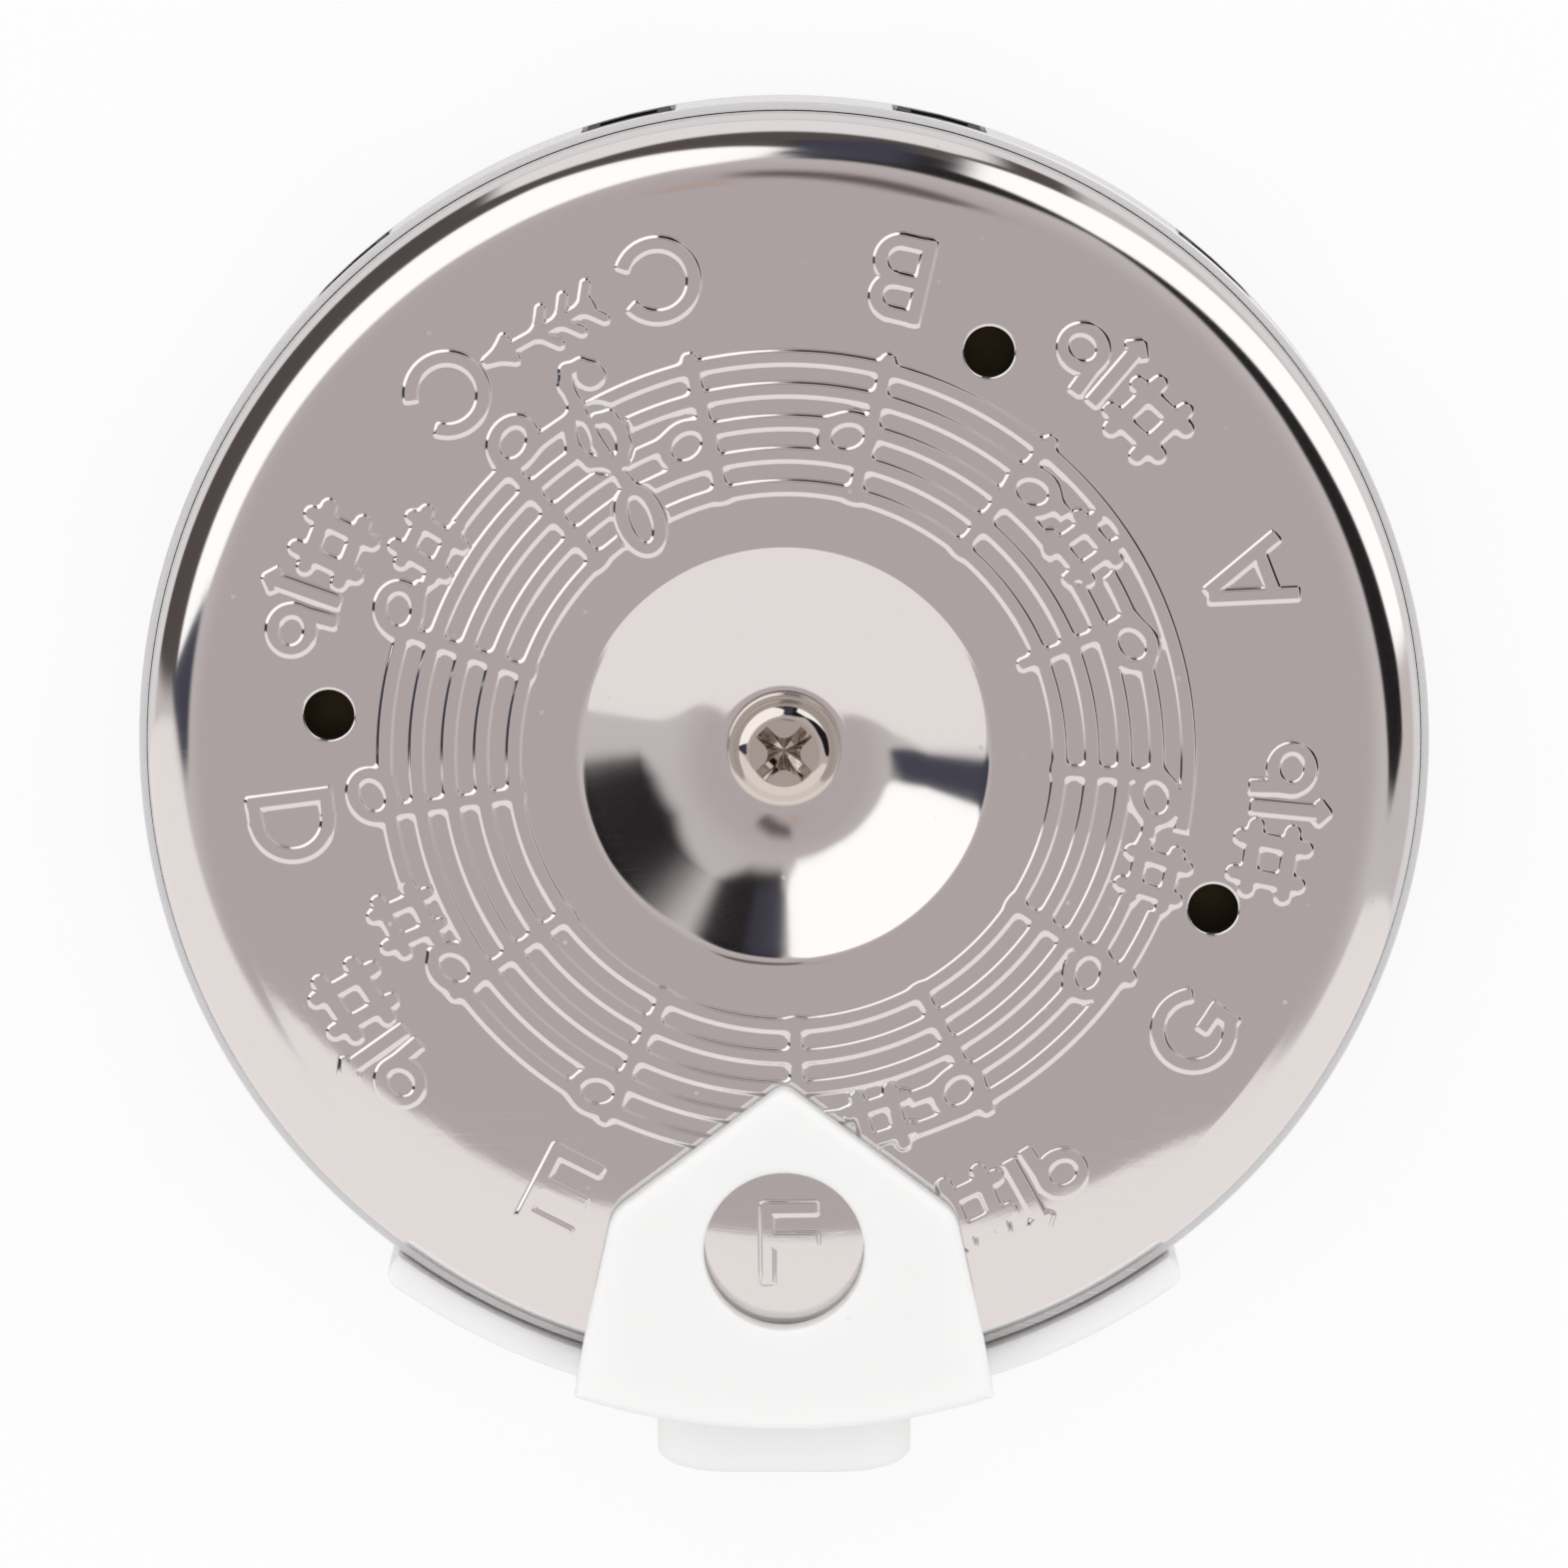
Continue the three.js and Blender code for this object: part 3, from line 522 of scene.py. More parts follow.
def pole(start, end, width):
    """Straight stroke with round ends."""
    start, end = np.array(start, float), np.array(end, float)
    span = end - start

    def distance(u, v):
        share = np.clip(((u - start[0]) * span[0] + (v - start[1]) * span[1]) / (span @ span), 0, 1)
        return np.hypot(u - start[0] - share * span[0], v - start[1] - share * span[1]) - width / 2
    return distance


def bow(centre, radius, start, end, width, rounding=CORNER_ROUNDING):
    """Stroke along an arc, its angles in degrees anticlockwise, with rounded corners at its ends."""
    tips = []
    width = width - 2 * rounding
    start, end = start + math.degrees(rounding / radius), end - math.degrees(rounding / radius)
    for angle in (math.radians(start), math.radians(end)):
        ray = np.array((math.cos(angle), math.sin(angle)))
        tips.append([np.array(centre) + (radius + side * width / 2) * ray for side in (-1, 1)])

    def distance(u, v):
        turn = np.degrees(np.arctan2(v - centre[1], u - centre[0]))
        inside = (turn - start) % 360 <= end - start
        round_part = np.abs(np.hypot(u - centre[0], v - centre[1]) - radius) - width / 2
        ends = np.minimum(*(pole(a, b, 0)(u, v) for a, b in tips))
        return np.where(inside, round_part, ends) - rounding
    return distance


def oval(centre, half_long, half_wide, turn=0.0):
    """Filled ellipse, its long half axis turned by an angle in degrees."""
    a = math.radians(turn)

    def distance(u, v):
        s = (u - centre[0]) * math.cos(a) + (v - centre[1]) * math.sin(a)
        t = (v - centre[1]) * math.cos(a) - (u - centre[0]) * math.sin(a)
        size = np.hypot(s / half_long, t / half_wide)
        slope = np.hypot(s / half_long ** 2, t / half_wide ** 2)
        return size * (size - 1) / np.maximum(slope, 1e-6)
    return distance


# %% Draw shapes into the field
def stamp(shapes, centre, bearing_cw, reach, join=0.15, cut=False):
    """Raises shapes, or cuts them away, in a frame at a centre whose top points to the axis."""
    a = math.radians(bearing_cw)
    up = (-math.sin(a), -math.cos(a))
    right = (-math.cos(a), math.sin(a))
    first = [max(int((c - reach + FIELD_HALF) / FIELD_STEP), 0) for c in centre]
    last = [int((c + reach + FIELD_HALF) / FIELD_STEP) + 2 for c in centre]
    area = np.s_[first[1]:last[1], first[0]:last[0]]
    x, y = grid_x[area] - centre[0], grid_y[area] - centre[1]
    u, v = x * right[0] + y * right[1], x * up[0] + y * up[1]
    for shape in shapes:
        if cut:
            field[area] = -smooth_least(-field[area], shape(u, v), join)
        else:
            field[area] = smooth_least(field[area], shape(u, v), join)


# %% [markdown]
# The staff is drawn first: five rings and the bar lines across them. Two of the bar lines are
# shorter or longer than the rest, and the outermost ring has a gap. Note heads are ovals with an
# oval left low in their middle. The staff's own middle lies a little off the disc's.

# %% Draw the staff
STAFF_CENTRE = np.array((0.13, 0.09))
STAFF_RADII = (13.83, 15.48, 17.12, 18.76, 20.37)
STAFF_WIDTH = 0.72
BAR_WIDTH = 0.66
BAR_BEARINGS = (-153.5, -125.9, -97.8, -71.5, -43.4, -13.6, 14.2, 39.5, 68.2, 92.8, 123.1, 150.6, 178.2)
NOTE_HEADS = ((-150.8, 19.8), (-122.7, 20.1), (-95.3, 21.1), (-68.8, 21.0), (-40.6, 21.15),
              (-17.6, 16.65), (10.6, 16.65), (42.4, 18.35), (71.6, 18.4), (96.3, 18.85), (126, 18.95),
              (153, 19.35))
SMALL_SHARPS = ((-113.5, 21.05), (-59, 21.05), (54.4, 18.4), (108, 19.6), (165.7, 19.4))
OWN_ENDS = {68.2: (12.6, 19.1), 92.8: (13.5, 19.1)}
RAIL_GAP = (102.2, 19.75, 21.4)
NOTE_OUTER = (1.5, 1.28, 20)
NOTE_INNER = (0.82, 0.6, 20)
STAFF_JOIN = 0.3
BAR_JOIN = 0.42
BAR_ROUNDING = 0.25
BAR_EXTRA = 0.45
HEAD_JOIN = 0.35
CRISP = 0.05
SMALL_SHARP = (1.8, 0.86, 0.72)
LARGE_SHARP = (2.05, 0.95, 0.8)


def on_staff(bearing_cw, reach):
    """Point on the cover at a bearing and a distance from the staff's own middle."""
    return STAFF_CENTRE + on_disc(bearing_cw, reach)


whole = [bow((0, 0), radius, 0, 360, STAFF_WIDTH, 0) for radius in STAFF_RADII]
stamp(whole, STAFF_CENTRE, 180, FIELD_HALF, STAFF_JOIN)
usual_ends = (STAFF_RADII[0] - STAFF_WIDTH / 2, STAFF_RADII[-1] + STAFF_WIDTH / 2 + BAR_EXTRA)
for bearing_cw in BAR_BEARINGS:
    ends = OWN_ENDS.get(bearing_cw, usual_ends)
    stroke = plank(*(on_disc(bearing_cw, end) for end in ends), BAR_WIDTH, BAR_ROUNDING)
    stamp([stroke], STAFF_CENTRE, 180, FIELD_HALF, BAR_JOIN)
gap = plank(on_disc(RAIL_GAP[0], RAIL_GAP[1]), on_disc(RAIL_GAP[0], RAIL_GAP[2]), 1.0)
stamp([gap], STAFF_CENTRE, 180, FIELD_HALF, 0.1, cut=True)
for bearing_cw, reach in NOTE_HEADS:
    centre = on_staff(bearing_cw, reach)
    stamp([oval((0, 0), *NOTE_OUTER)], centre, bearing_cw, 3, HEAD_JOIN)
    stamp([oval((0, 0), *NOTE_INNER)], centre, bearing_cw, 3, CRISP, cut=True)


# %% Draw the small sharps
def sharp(half, gap, width):
    """Sharp sign: two upright strokes and two that climb a little, all with round ends."""
    tip = half - width / 2
    uprights = [pole((side * gap, -tip), (side * gap, tip), width) for side in (-1, 1)]
    bars = [pole((-tip, side * gap - 0.1), (tip, side * gap + 0.1), width) for side in (-1, 1)]
    return uprights + bars


SHARP_ROOM = (1.85, 1.85)
SHARP_JOIN = 0.28
for bearing_cw, reach in SMALL_SHARPS:
    stamp([oval((0, 0), *SHARP_ROOM)], on_staff(bearing_cw, reach), bearing_cw, 3, CRISP, cut=True)
    stamp(sharp(*SMALL_SHARP), on_staff(bearing_cw, reach), bearing_cw, 3.2, SHARP_JOIN)

# %% Draw the clef
CLEF_BEARING = -28.5
CLEF_REACH = 17.75
CLEF_WIDTH = 0.68
CLEF_JOIN = 0.2
CLEF_STEM = ((-0.95, -3.85), (-0.45, -4.75), (0.3, -4.85), (0.72, -4.2), (0.75, -3.0), (0.78, -1.6),
             (0.65, 0.2), (0.42, 1.5), (0.3, 2.6))
CLEF_BELLY = ((0.77, -3.0), (1.6, -2.3), (1.92, -1.15), (1.5, -0.2), (0.63, 0.3), (0.1, 0.5),
              (-0.45, -0.2), (-0.62, -0.9), (-0.45, -1.75), (0.15, -1.95))
CLEF_LOOP = (0.67, 3.56)
clef = [pole(a, b, CLEF_WIDTH) for line in (CLEF_STEM, CLEF_BELLY) for a, b in zip(line, line[1:])]
clef += [oval((-0.62, -4.1), 0.72, 0.72), oval(CLEF_LOOP, 1.9, 1.25, 81)]
clef_room = [oval((0.4, -1.0), 1.9, 1.6, 90), oval(CLEF_LOOP, 2.0, 1.4, 81)]
clef_islands = [oval(CLEF_LOOP, 1.2, 0.52, 81), oval((1.16, -1.45), 0.75, 0.3, 80)]
clef_place = on_staff(CLEF_BEARING, CLEF_REACH)
stamp(clef_room, clef_place, CLEF_BEARING, 6, CRISP, cut=True)
stamp(clef, clef_place, CLEF_BEARING, 7, CLEF_JOIN)
stamp(clef_islands, clef_place, CLEF_BEARING, 7, CRISP, cut=True)

# %% [markdown]
# The note names are plain block letters, as on any pitch pipe's dial. Each stands with its top to
# the middle, so the one in the selector's window reads upright from the mouthpiece.

# %% Letters of the scale
LETTER_WIDTH = 0.72
LETTER_HALF = 2.2
EDGE = LETTER_HALF - LETTER_WIDTH / 2
LETTERS = {
    "C": [bow((0.05, 0), 1.84, 29, 331, LETTER_WIDTH)],
    "D": [plank((-1.3, -LETTER_HALF), (-1.3, LETTER_HALF), LETTER_WIDTH),
          plank((-1.5, EDGE), (0, EDGE), LETTER_WIDTH), plank((-1.5, -EDGE), (0, -EDGE), LETTER_WIDTH),
          bow((-0.25, 0), EDGE, -92, 92, LETTER_WIDTH)],
    "E": [plank((-1.15, -LETTER_HALF), (-1.15, LETTER_HALF), LETTER_WIDTH),
          *(plank((-1.4, v), (1.5, v), LETTER_WIDTH) for v in (-EDGE, 0, EDGE))],
    "F": [plank((-1.15, -LETTER_HALF), (-1.15, LETTER_HALF), LETTER_WIDTH),
          *(plank((-1.4, v), (1.5, v), LETTER_WIDTH) for v in (0.2, EDGE))],
    "G": [bow((0.05, 0), 1.84, 36, 322, LETTER_WIDTH), plank((0.2, -0.35), (1.9, -0.35), LETTER_WIDTH),
          plank((1.53, -1.7), (1.53, 0), LETTER_WIDTH)],
    "A": [plank((-1.6, -LETTER_HALF), (-0.1, LETTER_HALF), LETTER_WIDTH),
          plank((1.6, -LETTER_HALF), (0.1, LETTER_HALF), LETTER_WIDTH),
          plank((-1.2, -1.0), (1.2, -1.0), LETTER_WIDTH)],
    "B": [plank((-1.2, -LETTER_HALF), (-1.2, LETTER_HALF), LETTER_WIDTH),
          *(plank((-1.4, v), (0.25, v), LETTER_WIDTH) for v in (-EDGE, 0.12, EDGE)),
          bow((0.05, 0.98), 0.86, -92, 92, LETTER_WIDTH), bow((0.1, -0.86), 0.98, -92, 92, LETTER_WIDTH)],
}
LABEL_TURN = -0.66
SCALE = ("C", "", "D", "", "E", "F", "", "G", "", "A", "", "B", "C")
LETTER_REACH = 25.15

for note, letter in enumerate(SCALE):
    bearing_cw = 180 - (note - SELECTED_NOTE) * PITCH + LABEL_TURN
    if letter:
        stamp(LETTERS[letter], on_disc(bearing_cw, LETTER_REACH), bearing_cw, 3.5, 0.12)

# %% Signs of the notes between
SIGN_WIDTH = 0.78
SLASH = [plank((0, -2.5), (0, 1.25), SIGN_WIDTH), plank((-0.62, -2.15), (0.1, -2.8), 0.5),
         plank((0.62, -2.15), (-0.1, -2.8), 0.5)]
FLAT = [plank((-0.95, -1.2), (-0.95, 1.3), SIGN_WIDTH), oval((-0.02, -0.85), 1.38, 1.3)]
FLAT_HOLE = [oval((0.05, -0.85), 0.72, 0.6)]
SIGN_PARTS = ((sharp(*LARGE_SHARP), 5.7, 25.2, 3.5, SHARP_JOIN, False),
              (SLASH, -0.5, 25.0, 4, 0.1, False), (FLAT, -5.2, 24.9, 3.5, 0.15, False),
              (FLAT_HOLE, -5.2, 24.9, 3, CRISP, True))
for note, letter in enumerate(SCALE):
    bearing_cw = 180 - (note - SELECTED_NOTE) * PITCH + LABEL_TURN
    if not letter:
        for shapes, turn, reach, area, join, cut in SIGN_PARTS:
            place = bearing_cw + turn
            stamp(shapes, on_disc(place, reach), place, area, join, cut)

# %% Arrow from the high C to the low C
ARROW_BEARING = -29.0
ARROW_REACH = 24.95
ARROW_HALF = 3.4
ARROW = [plank((-ARROW_HALF + 0.5, 0), (ARROW_HALF - 1.1, 0), 0.6)]
ARROW += [plank((ARROW_HALF - 1.6, side * 0.16 * k), (ARROW_HALF - 0.18 * k, side * 0.02 * k), 0.34)
          for side in (-1, 1) for k in range(6)]
ARROW_ROOTS = (-2.25, -0.95, 0.35)
ARROW += [pole((root, 0), (root - 0.75, side * 1.0), 0.5) for root in ARROW_ROOTS for side in (-1, 1)]
stamp(ARROW, on_disc(ARROW_BEARING, ARROW_REACH), ARROW_BEARING, 5, 0.25)
print(f"field of {field.size} points, {int((field < 0).sum())} of them raised")

# %% [markdown]
# ## From the field to a mesh
# Lines of equal distance are walked through the field at five levels, from the top edge of the
# slope to its foot. They go into a constrained triangulation, which keeps every line as mesh edges
# and fills the flat metal between them with few large faces. The field also gives the direction of
# each slope, so the normals are set from the formula and reflections run clean over the edges.

# %% Walk the lines of equal distance
RELIEF_HEIGHT = 0.102
SLOPE_HALF = 0.13
LINE_TOLERANCE = 0.004


def equal_lines(level):
    """Closed lines where the field has a value."""
    values = field - level
    above = values > 0
    corner = [above[:-1, :-1], above[:-1, 1:], above[1:, 1:], above[1:, :-1]]
    mixed = ~((corner[0] == corner[1]) & (corner[1] == corner[2]) & (corner[2] == corner[3]))
    links = {}
    for j, i in np.argwhere(mixed):
        sides = []
        if above[j, i] != above[j, i + 1]:
            sides.append(("h", j, i))
        if above[j, i + 1] != above[j + 1, i + 1]:
            sides.append(("v", j, i + 1))
        if above[j + 1, i] != above[j + 1, i + 1]:
            sides.append(("h", j + 1, i))
        if above[j, i] != above[j + 1, i]:
            sides.append(("v", j, i))
        if len(sides) == 4 and above[j, i] == (values[j:j + 2, i:i + 2].mean() > 0):
            sides = [sides[3], sides[0], sides[1], sides[2]]
        for a, b in zip(sides[::2], sides[1::2]):
            links.setdefault(a, []).append(b)
            links.setdefault(b, []).append(a)
    lines = []
    while links:
        start = next(iter(links))
        walk, here = [start], start
        while True:
            there = links[here].pop()
            links[there].remove(here)
            if not links[here]:
                del links[here]
            here = there
            if here == start or not links[here]:
                if here in links and not links[here]:
                    del links[here]
                break
            walk.append(here)
        if len(walk) > 8:
            lines.append(np.array([crossing(values, *side) for side in walk]))
    return lines


def crossing(values, kind, j, i):
    """Point on a side of the grid where the values change sign."""
    ahead = values[j, i + 1] if kind == "h" else values[j + 1, i]
    share = values[j, i] / (values[j, i] - ahead)
    step = (share, 0) if kind == "h" else (0, share)
    return ticks[i] + step[0] * FIELD_STEP, ticks[j] + step[1] * FIELD_STEP


def thin_out(line, tolerance=LINE_TOLERANCE, longest=1.2):
    """The fewest points of a closed line that stay within a tolerance of it."""
    closed = np.vstack([line, line[:1]])
    kept, start = [0], 0
    for end in range(2, len(closed)):
        span = closed[end] - closed[start]
        length = np.hypot(*span)
        between = closed[start + 1:end] - closed[start]
        off = np.abs(between[:, 0] * span[1] - between[:, 1] * span[0]).max() / max(length, 1e-9)
        if off > tolerance or length > longest:
            start = end - 1
            kept.append(start)
    return closed[kept]


levels = [SLOPE_HALF * share for share in (-1, -0.5, 0, 0.5, 1)]
slope_lines = []
for level in levels:
    lines = [thin_out(line) for line in equal_lines(level)]
    slope_lines.append([line for line in lines if len(line) > 3])
print("points on the slope lines:", [sum(len(line) for line in lines) for lines in slope_lines])

# %% [markdown]
# ## Front cover
# The cover is one pressed sheet: a conical dish with a soft lip for the screw, the flat ring with
# the scale, and a rolled edge that turns down to the rim band. The flat ring isn't quite flat. It
# drops by a tenth of a millimetre towards the edge, as pressed sheet does, and that bends the
# border of the pale reflection into the curve that the photograph shows.

# %% Profile of the cover
SHEET = 0.5
DISH_DEPTH = 3.6
DISH_FLOOR = 3.1
DISH_START = (0.4, 0.18)
DISH_BENDS = ((5.7, 0.54), (7.4, 0.68))
DISH_LIP = 10.1
SCREW_HOLE = 1.8
CROWN_START = 21.0
CROWN_SLOPE = 0.040
ROLL_START = FLAT_RADIUS - 0.15
ROLL_RADIUS = 3.72
RIM_BOTTOM = BAND_TOP + 0.1


def crown(reach):
    """Drop of the flat ring and its slope at a distance from the axis."""
    share = np.clip((np.asarray(reach, float) - CROWN_START) / (ROLL_START - CROWN_START), 0, 1)
    return -CROWN_SLOPE * (ROLL_START - CROWN_START) * share ** 3 / 3, -CROWN_SLOPE * share ** 2


def dish_slope(reach, floor):
    """Slope of the dish before it is scaled to its depth: a quick start, a cone, then a soft lip."""
    places, slopes = zip((floor, 0), (floor + DISH_START[0], DISH_START[1]), *DISH_BENDS)
    rise = np.interp(reach, places, slopes)
    fall = np.clip((DISH_RADIUS - reach) / (DISH_RADIUS - DISH_LIP), 0, 1)
    return rise * fall ** 2 * (3 - 2 * fall)


def dish_profile(depth, floor, steps=60):
    """Radii, heights under the flat and slopes of the dish, from the screw hole to the lip."""
    fine = np.linspace(floor, DISH_RADIUS, 2001)
    slopes = dish_slope(fine, floor)
    climbed = np.concatenate([[0], np.cumsum((slopes[1:] + slopes[:-1]) / 2 * np.diff(fine))])
    scale = depth / climbed[-1]
    radii = np.concatenate([[SCREW_HOLE, SCREW_HOLE + 0.2], np.linspace(floor, DISH_RADIUS, steps)])
    heights = np.interp(radii, fine, climbed * scale, left=0.0) - depth
    return radii, heights, dish_slope(radii, floor) * scale * (radii > floor)


dish_radii, dish_heights, dish_slopes = dish_profile(DISH_DEPTH, DISH_FLOOR)
print(f"steepest part of the dish {math.degrees(math.atan(dish_slopes.max())):.0f} degrees")

# %% [markdown]
# Three small sound holes between the notes let the reeds speak. They stand a little further round
# than halfway, as the photograph shows.

# %% Place the sound holes
SOUND_HOLE_RADIUS = 1.225
SOUND_HOLE_REACH = FLAT_RADIUS - 6.0
SOUND_HOLE_AFTER = (1, 7, 10)
HOLE_ROUNDING = 0.22
HOLE_STEPS = 48
HOLE_TURN = -1.28
hole_places = [on_disc(180 - (note + 0.5 - SELECTED_NOTE) * PITCH + HOLE_TURN, SOUND_HOLE_REACH)
               for note in SOUND_HOLE_AFTER]
print(f"{len(hole_places)} sound holes, {2 * SOUND_HOLE_RADIUS:.2f} mm across")

# %% [markdown]
# The sheet is put together from bands of rings, turned about the axis, and the triangulated ring
# between them. All parts share their border points, so the result is one closed sheet. The relief is
# on its upper side only, because nobody sees the other one.

# %% Gather the parts of a sheet
TURN_STEPS = 416
angles = 2 * np.pi * np.arange(TURN_STEPS) / TURN_STEPS


class Sheet:
    """Points, normals and faces that are gathered before they become one mesh."""

    def __init__(self):
        self.points, self.normals, self.faces = [], [], []

    def add(self, points, normals, faces):
        start = len(self.points)
        self.points.extend(map(tuple, points))
        self.normals.extend(map(tuple, normals))
        self.faces.extend([start + corner for corner in face] for face in faces)

    def add_turned(self, radii, heights, slope_radii, slope_heights, angles=angles, centre=(0, 0)):
        """A band turned about a centre from a profile with its own normals."""
        steps = len(angles)
        cos, sin = np.cos(angles), np.sin(angles)
        points, normals = [], []
        for r, z, nr, nz in zip(radii, heights, slope_radii, slope_heights):
            length = math.hypot(nr, nz)
            points.extend(zip(centre[0] + r * cos, centre[1] + r * sin, np.full(steps, z)))
            normals.extend(zip(nr / length * cos, nr / length * sin, np.full(steps, nz / length)))
        faces = []
        for ring in range(len(radii) - 1):
            for i in range(steps):
                a, b = ring * steps + i, ring * steps + (i + 1) % steps
                faces.append((a, a + steps, b + steps, b))
        self.add(points, normals, faces)


def circle(centre, radius, steps):
    """Points of a circle, in the same order as a turned band's."""
    turn = 2 * np.pi * np.arange(steps) / steps
    return np.stack([centre[0] + radius * np.cos(turn), centre[1] + radius * np.sin(turn)], 1)


# %% Fill the ring between two circles
def fill_ring(inner, outer, holes, lines, spread):
    """Triangles between two circles, round holes and along lines, with free points in the flats."""
    border = [circle((0, 0), inner, TURN_STEPS), circle((0, 0), outer, TURN_STEPS)]
    border += [circle(place, SOUND_HOLE_RADIUS + holes, HOLE_STEPS) for place in hole_places]
    points, edges, level_of = [], [], []
    for group, level in [(border, None)] + [(line_set, level) for level, line_set in lines]:
        for line in group:
            start = len(points)
            points.extend(map(tuple, line))
            edges.extend((start + i, start + (i + 1) % len(line)) for i in range(len(line)))
            level_of.extend([level] * len(line))
    for place in spread:
        points.append(tuple(place))
        level_of.append(None)
    found, _, triangles, origin, _, _ = delaunay_2d_cdt([Vector(p) for p in points], edges, [], 0, 1e-7)
    found = np.array([tuple(p) for p in found])
    triangles = np.array(triangles)
    middle = found[triangles].mean(1)
    reach = np.hypot(*middle.T)
    keep = (reach > inner * math.cos(math.pi / TURN_STEPS)) & (reach < outer)
    hole_chord = (SOUND_HOLE_RADIUS + holes) * math.cos(math.pi / HOLE_STEPS)
    for place in hole_places:
        keep &= np.hypot(*(middle - place).T) > hole_chord
    level = [next((level_of[i] for i in group if level_of[i] is not None), None) for group in origin]
    return found, triangles[keep], level


# %% Read the field at a place
def field_at(places):
    """Distance at places on the flat ring, read between the grid's points."""
    s = (places + FIELD_HALF) / FIELD_STEP
    i, j = s[:, 0].astype(int), s[:, 1].astype(int)
    a, b = s[:, 0] - i, s[:, 1] - j
    near = field[j, i] * (1 - a) + field[j, i + 1] * a
    far = field[j + 1, i] * (1 - a) + field[j + 1, i + 1] * a
    return near * (1 - b) + far * b


def slope_direction(places, reach=0.06):
    """Unit direction in which the distance grows."""
    across = field_at(places + (reach, 0)) - field_at(places - (reach, 0))
    along = field_at(places + (0, reach)) - field_at(places - (0, reach))
    length = np.maximum(np.hypot(across, along), 1e-9)
    return across / length, along / length


# %% Spread free points over the flat ring
SPREAD_STEP = 1.0
HOLE_CLEARANCE = 0.8
BORDER_CLEARANCE = 0.3
SLOPE_CLEARANCE = 2.2 * SLOPE_HALF
spread = []
for x in np.arange(-FLAT_RADIUS, FLAT_RADIUS, SPREAD_STEP):
    for y in np.arange(-FLAT_RADIUS, FLAT_RADIUS, SPREAD_STEP):
        reach = math.hypot(x, y)
        nearest_hole = min(np.hypot(*(place - (x, y))) for place in hole_places)
        if (DISH_RADIUS + BORDER_CLEARANCE < reach < ROLL_START - BORDER_CLEARANCE
                and nearest_hole > SOUND_HOLE_RADIUS + HOLE_CLEARANCE):
            spread.append((x, y))
spread = np.array(spread)
spread = spread[np.abs(field_at(spread)) > SLOPE_CLEARANCE]
print(f"{len(spread)} free points on the flat ring")

# %% Raise the scale from the flat ring
cover = Sheet()
flat, triangles, level_of = fill_ring(DISH_RADIUS, ROLL_START, HOLE_ROUNDING,
                                      list(zip(levels, slope_lines)), spread)
distance = np.array([level if level is not None else value
                     for level, value in zip(level_of, field_at(flat))])
share = np.clip(0.5 - distance / (2 * SLOPE_HALF), 0, 1)
drop, tilt = crown(np.hypot(*flat.T))
steep = 6 * share * (1 - share) * RELIEF_HEIGHT / (2 * SLOPE_HALF)
across, along = slope_direction(flat)
reach = np.hypot(*flat.T)
normals = np.stack([steep * across - tilt * flat[:, 0] / reach,
                    steep * along - tilt * flat[:, 1] / reach, np.ones(len(flat))], 1)
normals /= np.linalg.norm(normals, axis=1)[:, None]
heights = FACE + drop + RELIEF_HEIGHT * share ** 2 * (3 - 2 * share)
cover.add(np.column_stack([flat, heights]), normals, triangles.tolist())

# %% Turn the dish and the rolled edge
RIM_CHAMFER = 0.04
cover.add_turned(dish_radii, FACE + dish_heights, -dish_slopes, np.ones(len(dish_slopes)))
roll_top = float(FACE + crown(ROLL_START)[0])
roll_lean = math.atan(CROWN_SLOPE)
roll_centre = (ROLL_START - ROLL_RADIUS * math.sin(roll_lean),
               roll_top - ROLL_RADIUS * math.cos(roll_lean))


def roll_arc(radius, steps=37):
    """Radii, heights and outward directions of the rolled edge, from the flat down to its rim."""
    last = math.acos((RIM_BOTTOM - roll_centre[1]) / radius)
    turns = np.linspace(roll_lean, last, steps)
    return (roll_centre[0] + radius * np.sin(turns), roll_centre[1] + radius * np.cos(turns),
            np.sin(turns), np.cos(turns))


outer_roll = roll_arc(ROLL_RADIUS)
inner_roll = roll_arc(ROLL_RADIUS - SHEET)
cover.add_turned(*outer_roll)
outer_rim, inner_rim = (np.array(roll)[:, -1] for roll in (outer_roll, inner_roll))
cover.add_turned([outer_rim[0], outer_rim[0] - RIM_CHAMFER, inner_rim[0] + RIM_CHAMFER, inner_rim[0]],
                 [RIM_BOTTOM, RIM_BOTTOM - RIM_CHAMFER, RIM_BOTTOM - RIM_CHAMFER, RIM_BOTTOM],
                 [outer_rim[2], 0, 0, -inner_rim[2]], [outer_rim[3], -1, -1, -inner_rim[3]])
cover.add_turned(inner_roll[0][::-1], inner_roll[1][::-1], -inner_roll[2][::-1], -inner_roll[3][::-1])
cover.add_turned([inner_roll[0][0], ROLL_START], [inner_roll[1][0], roll_top - SHEET], [0, 0], [-1, -1])

# %% Close the sheet underneath and line the sound holes
under, under_faces, _ = fill_ring(DISH_RADIUS, ROLL_START, 0, [], spread[::3])
under_heights = FACE + crown(np.hypot(*under.T))[0] - SHEET
cover.add(np.column_stack([under, under_heights]), np.tile((0, 0, -1), (len(under), 1)),
          under_faces[:, ::-1].tolist())
cover.add_turned(dish_radii[::-1], (FACE + dish_heights - SHEET)[::-1], dish_slopes[::-1],
                 -np.ones(len(dish_slopes)))
dish_bottom = FACE - DISH_DEPTH
cover.add_turned([SCREW_HOLE, SCREW_HOLE], [dish_bottom - SHEET, dish_bottom], [-1, -1], [0, 0])
hole_turn = np.linspace(0, np.pi / 2, 6)
hole_angles = 2 * np.pi * np.arange(HOLE_STEPS) / HOLE_STEPS
hole_top = FACE + float(crown(SOUND_HOLE_REACH)[0])
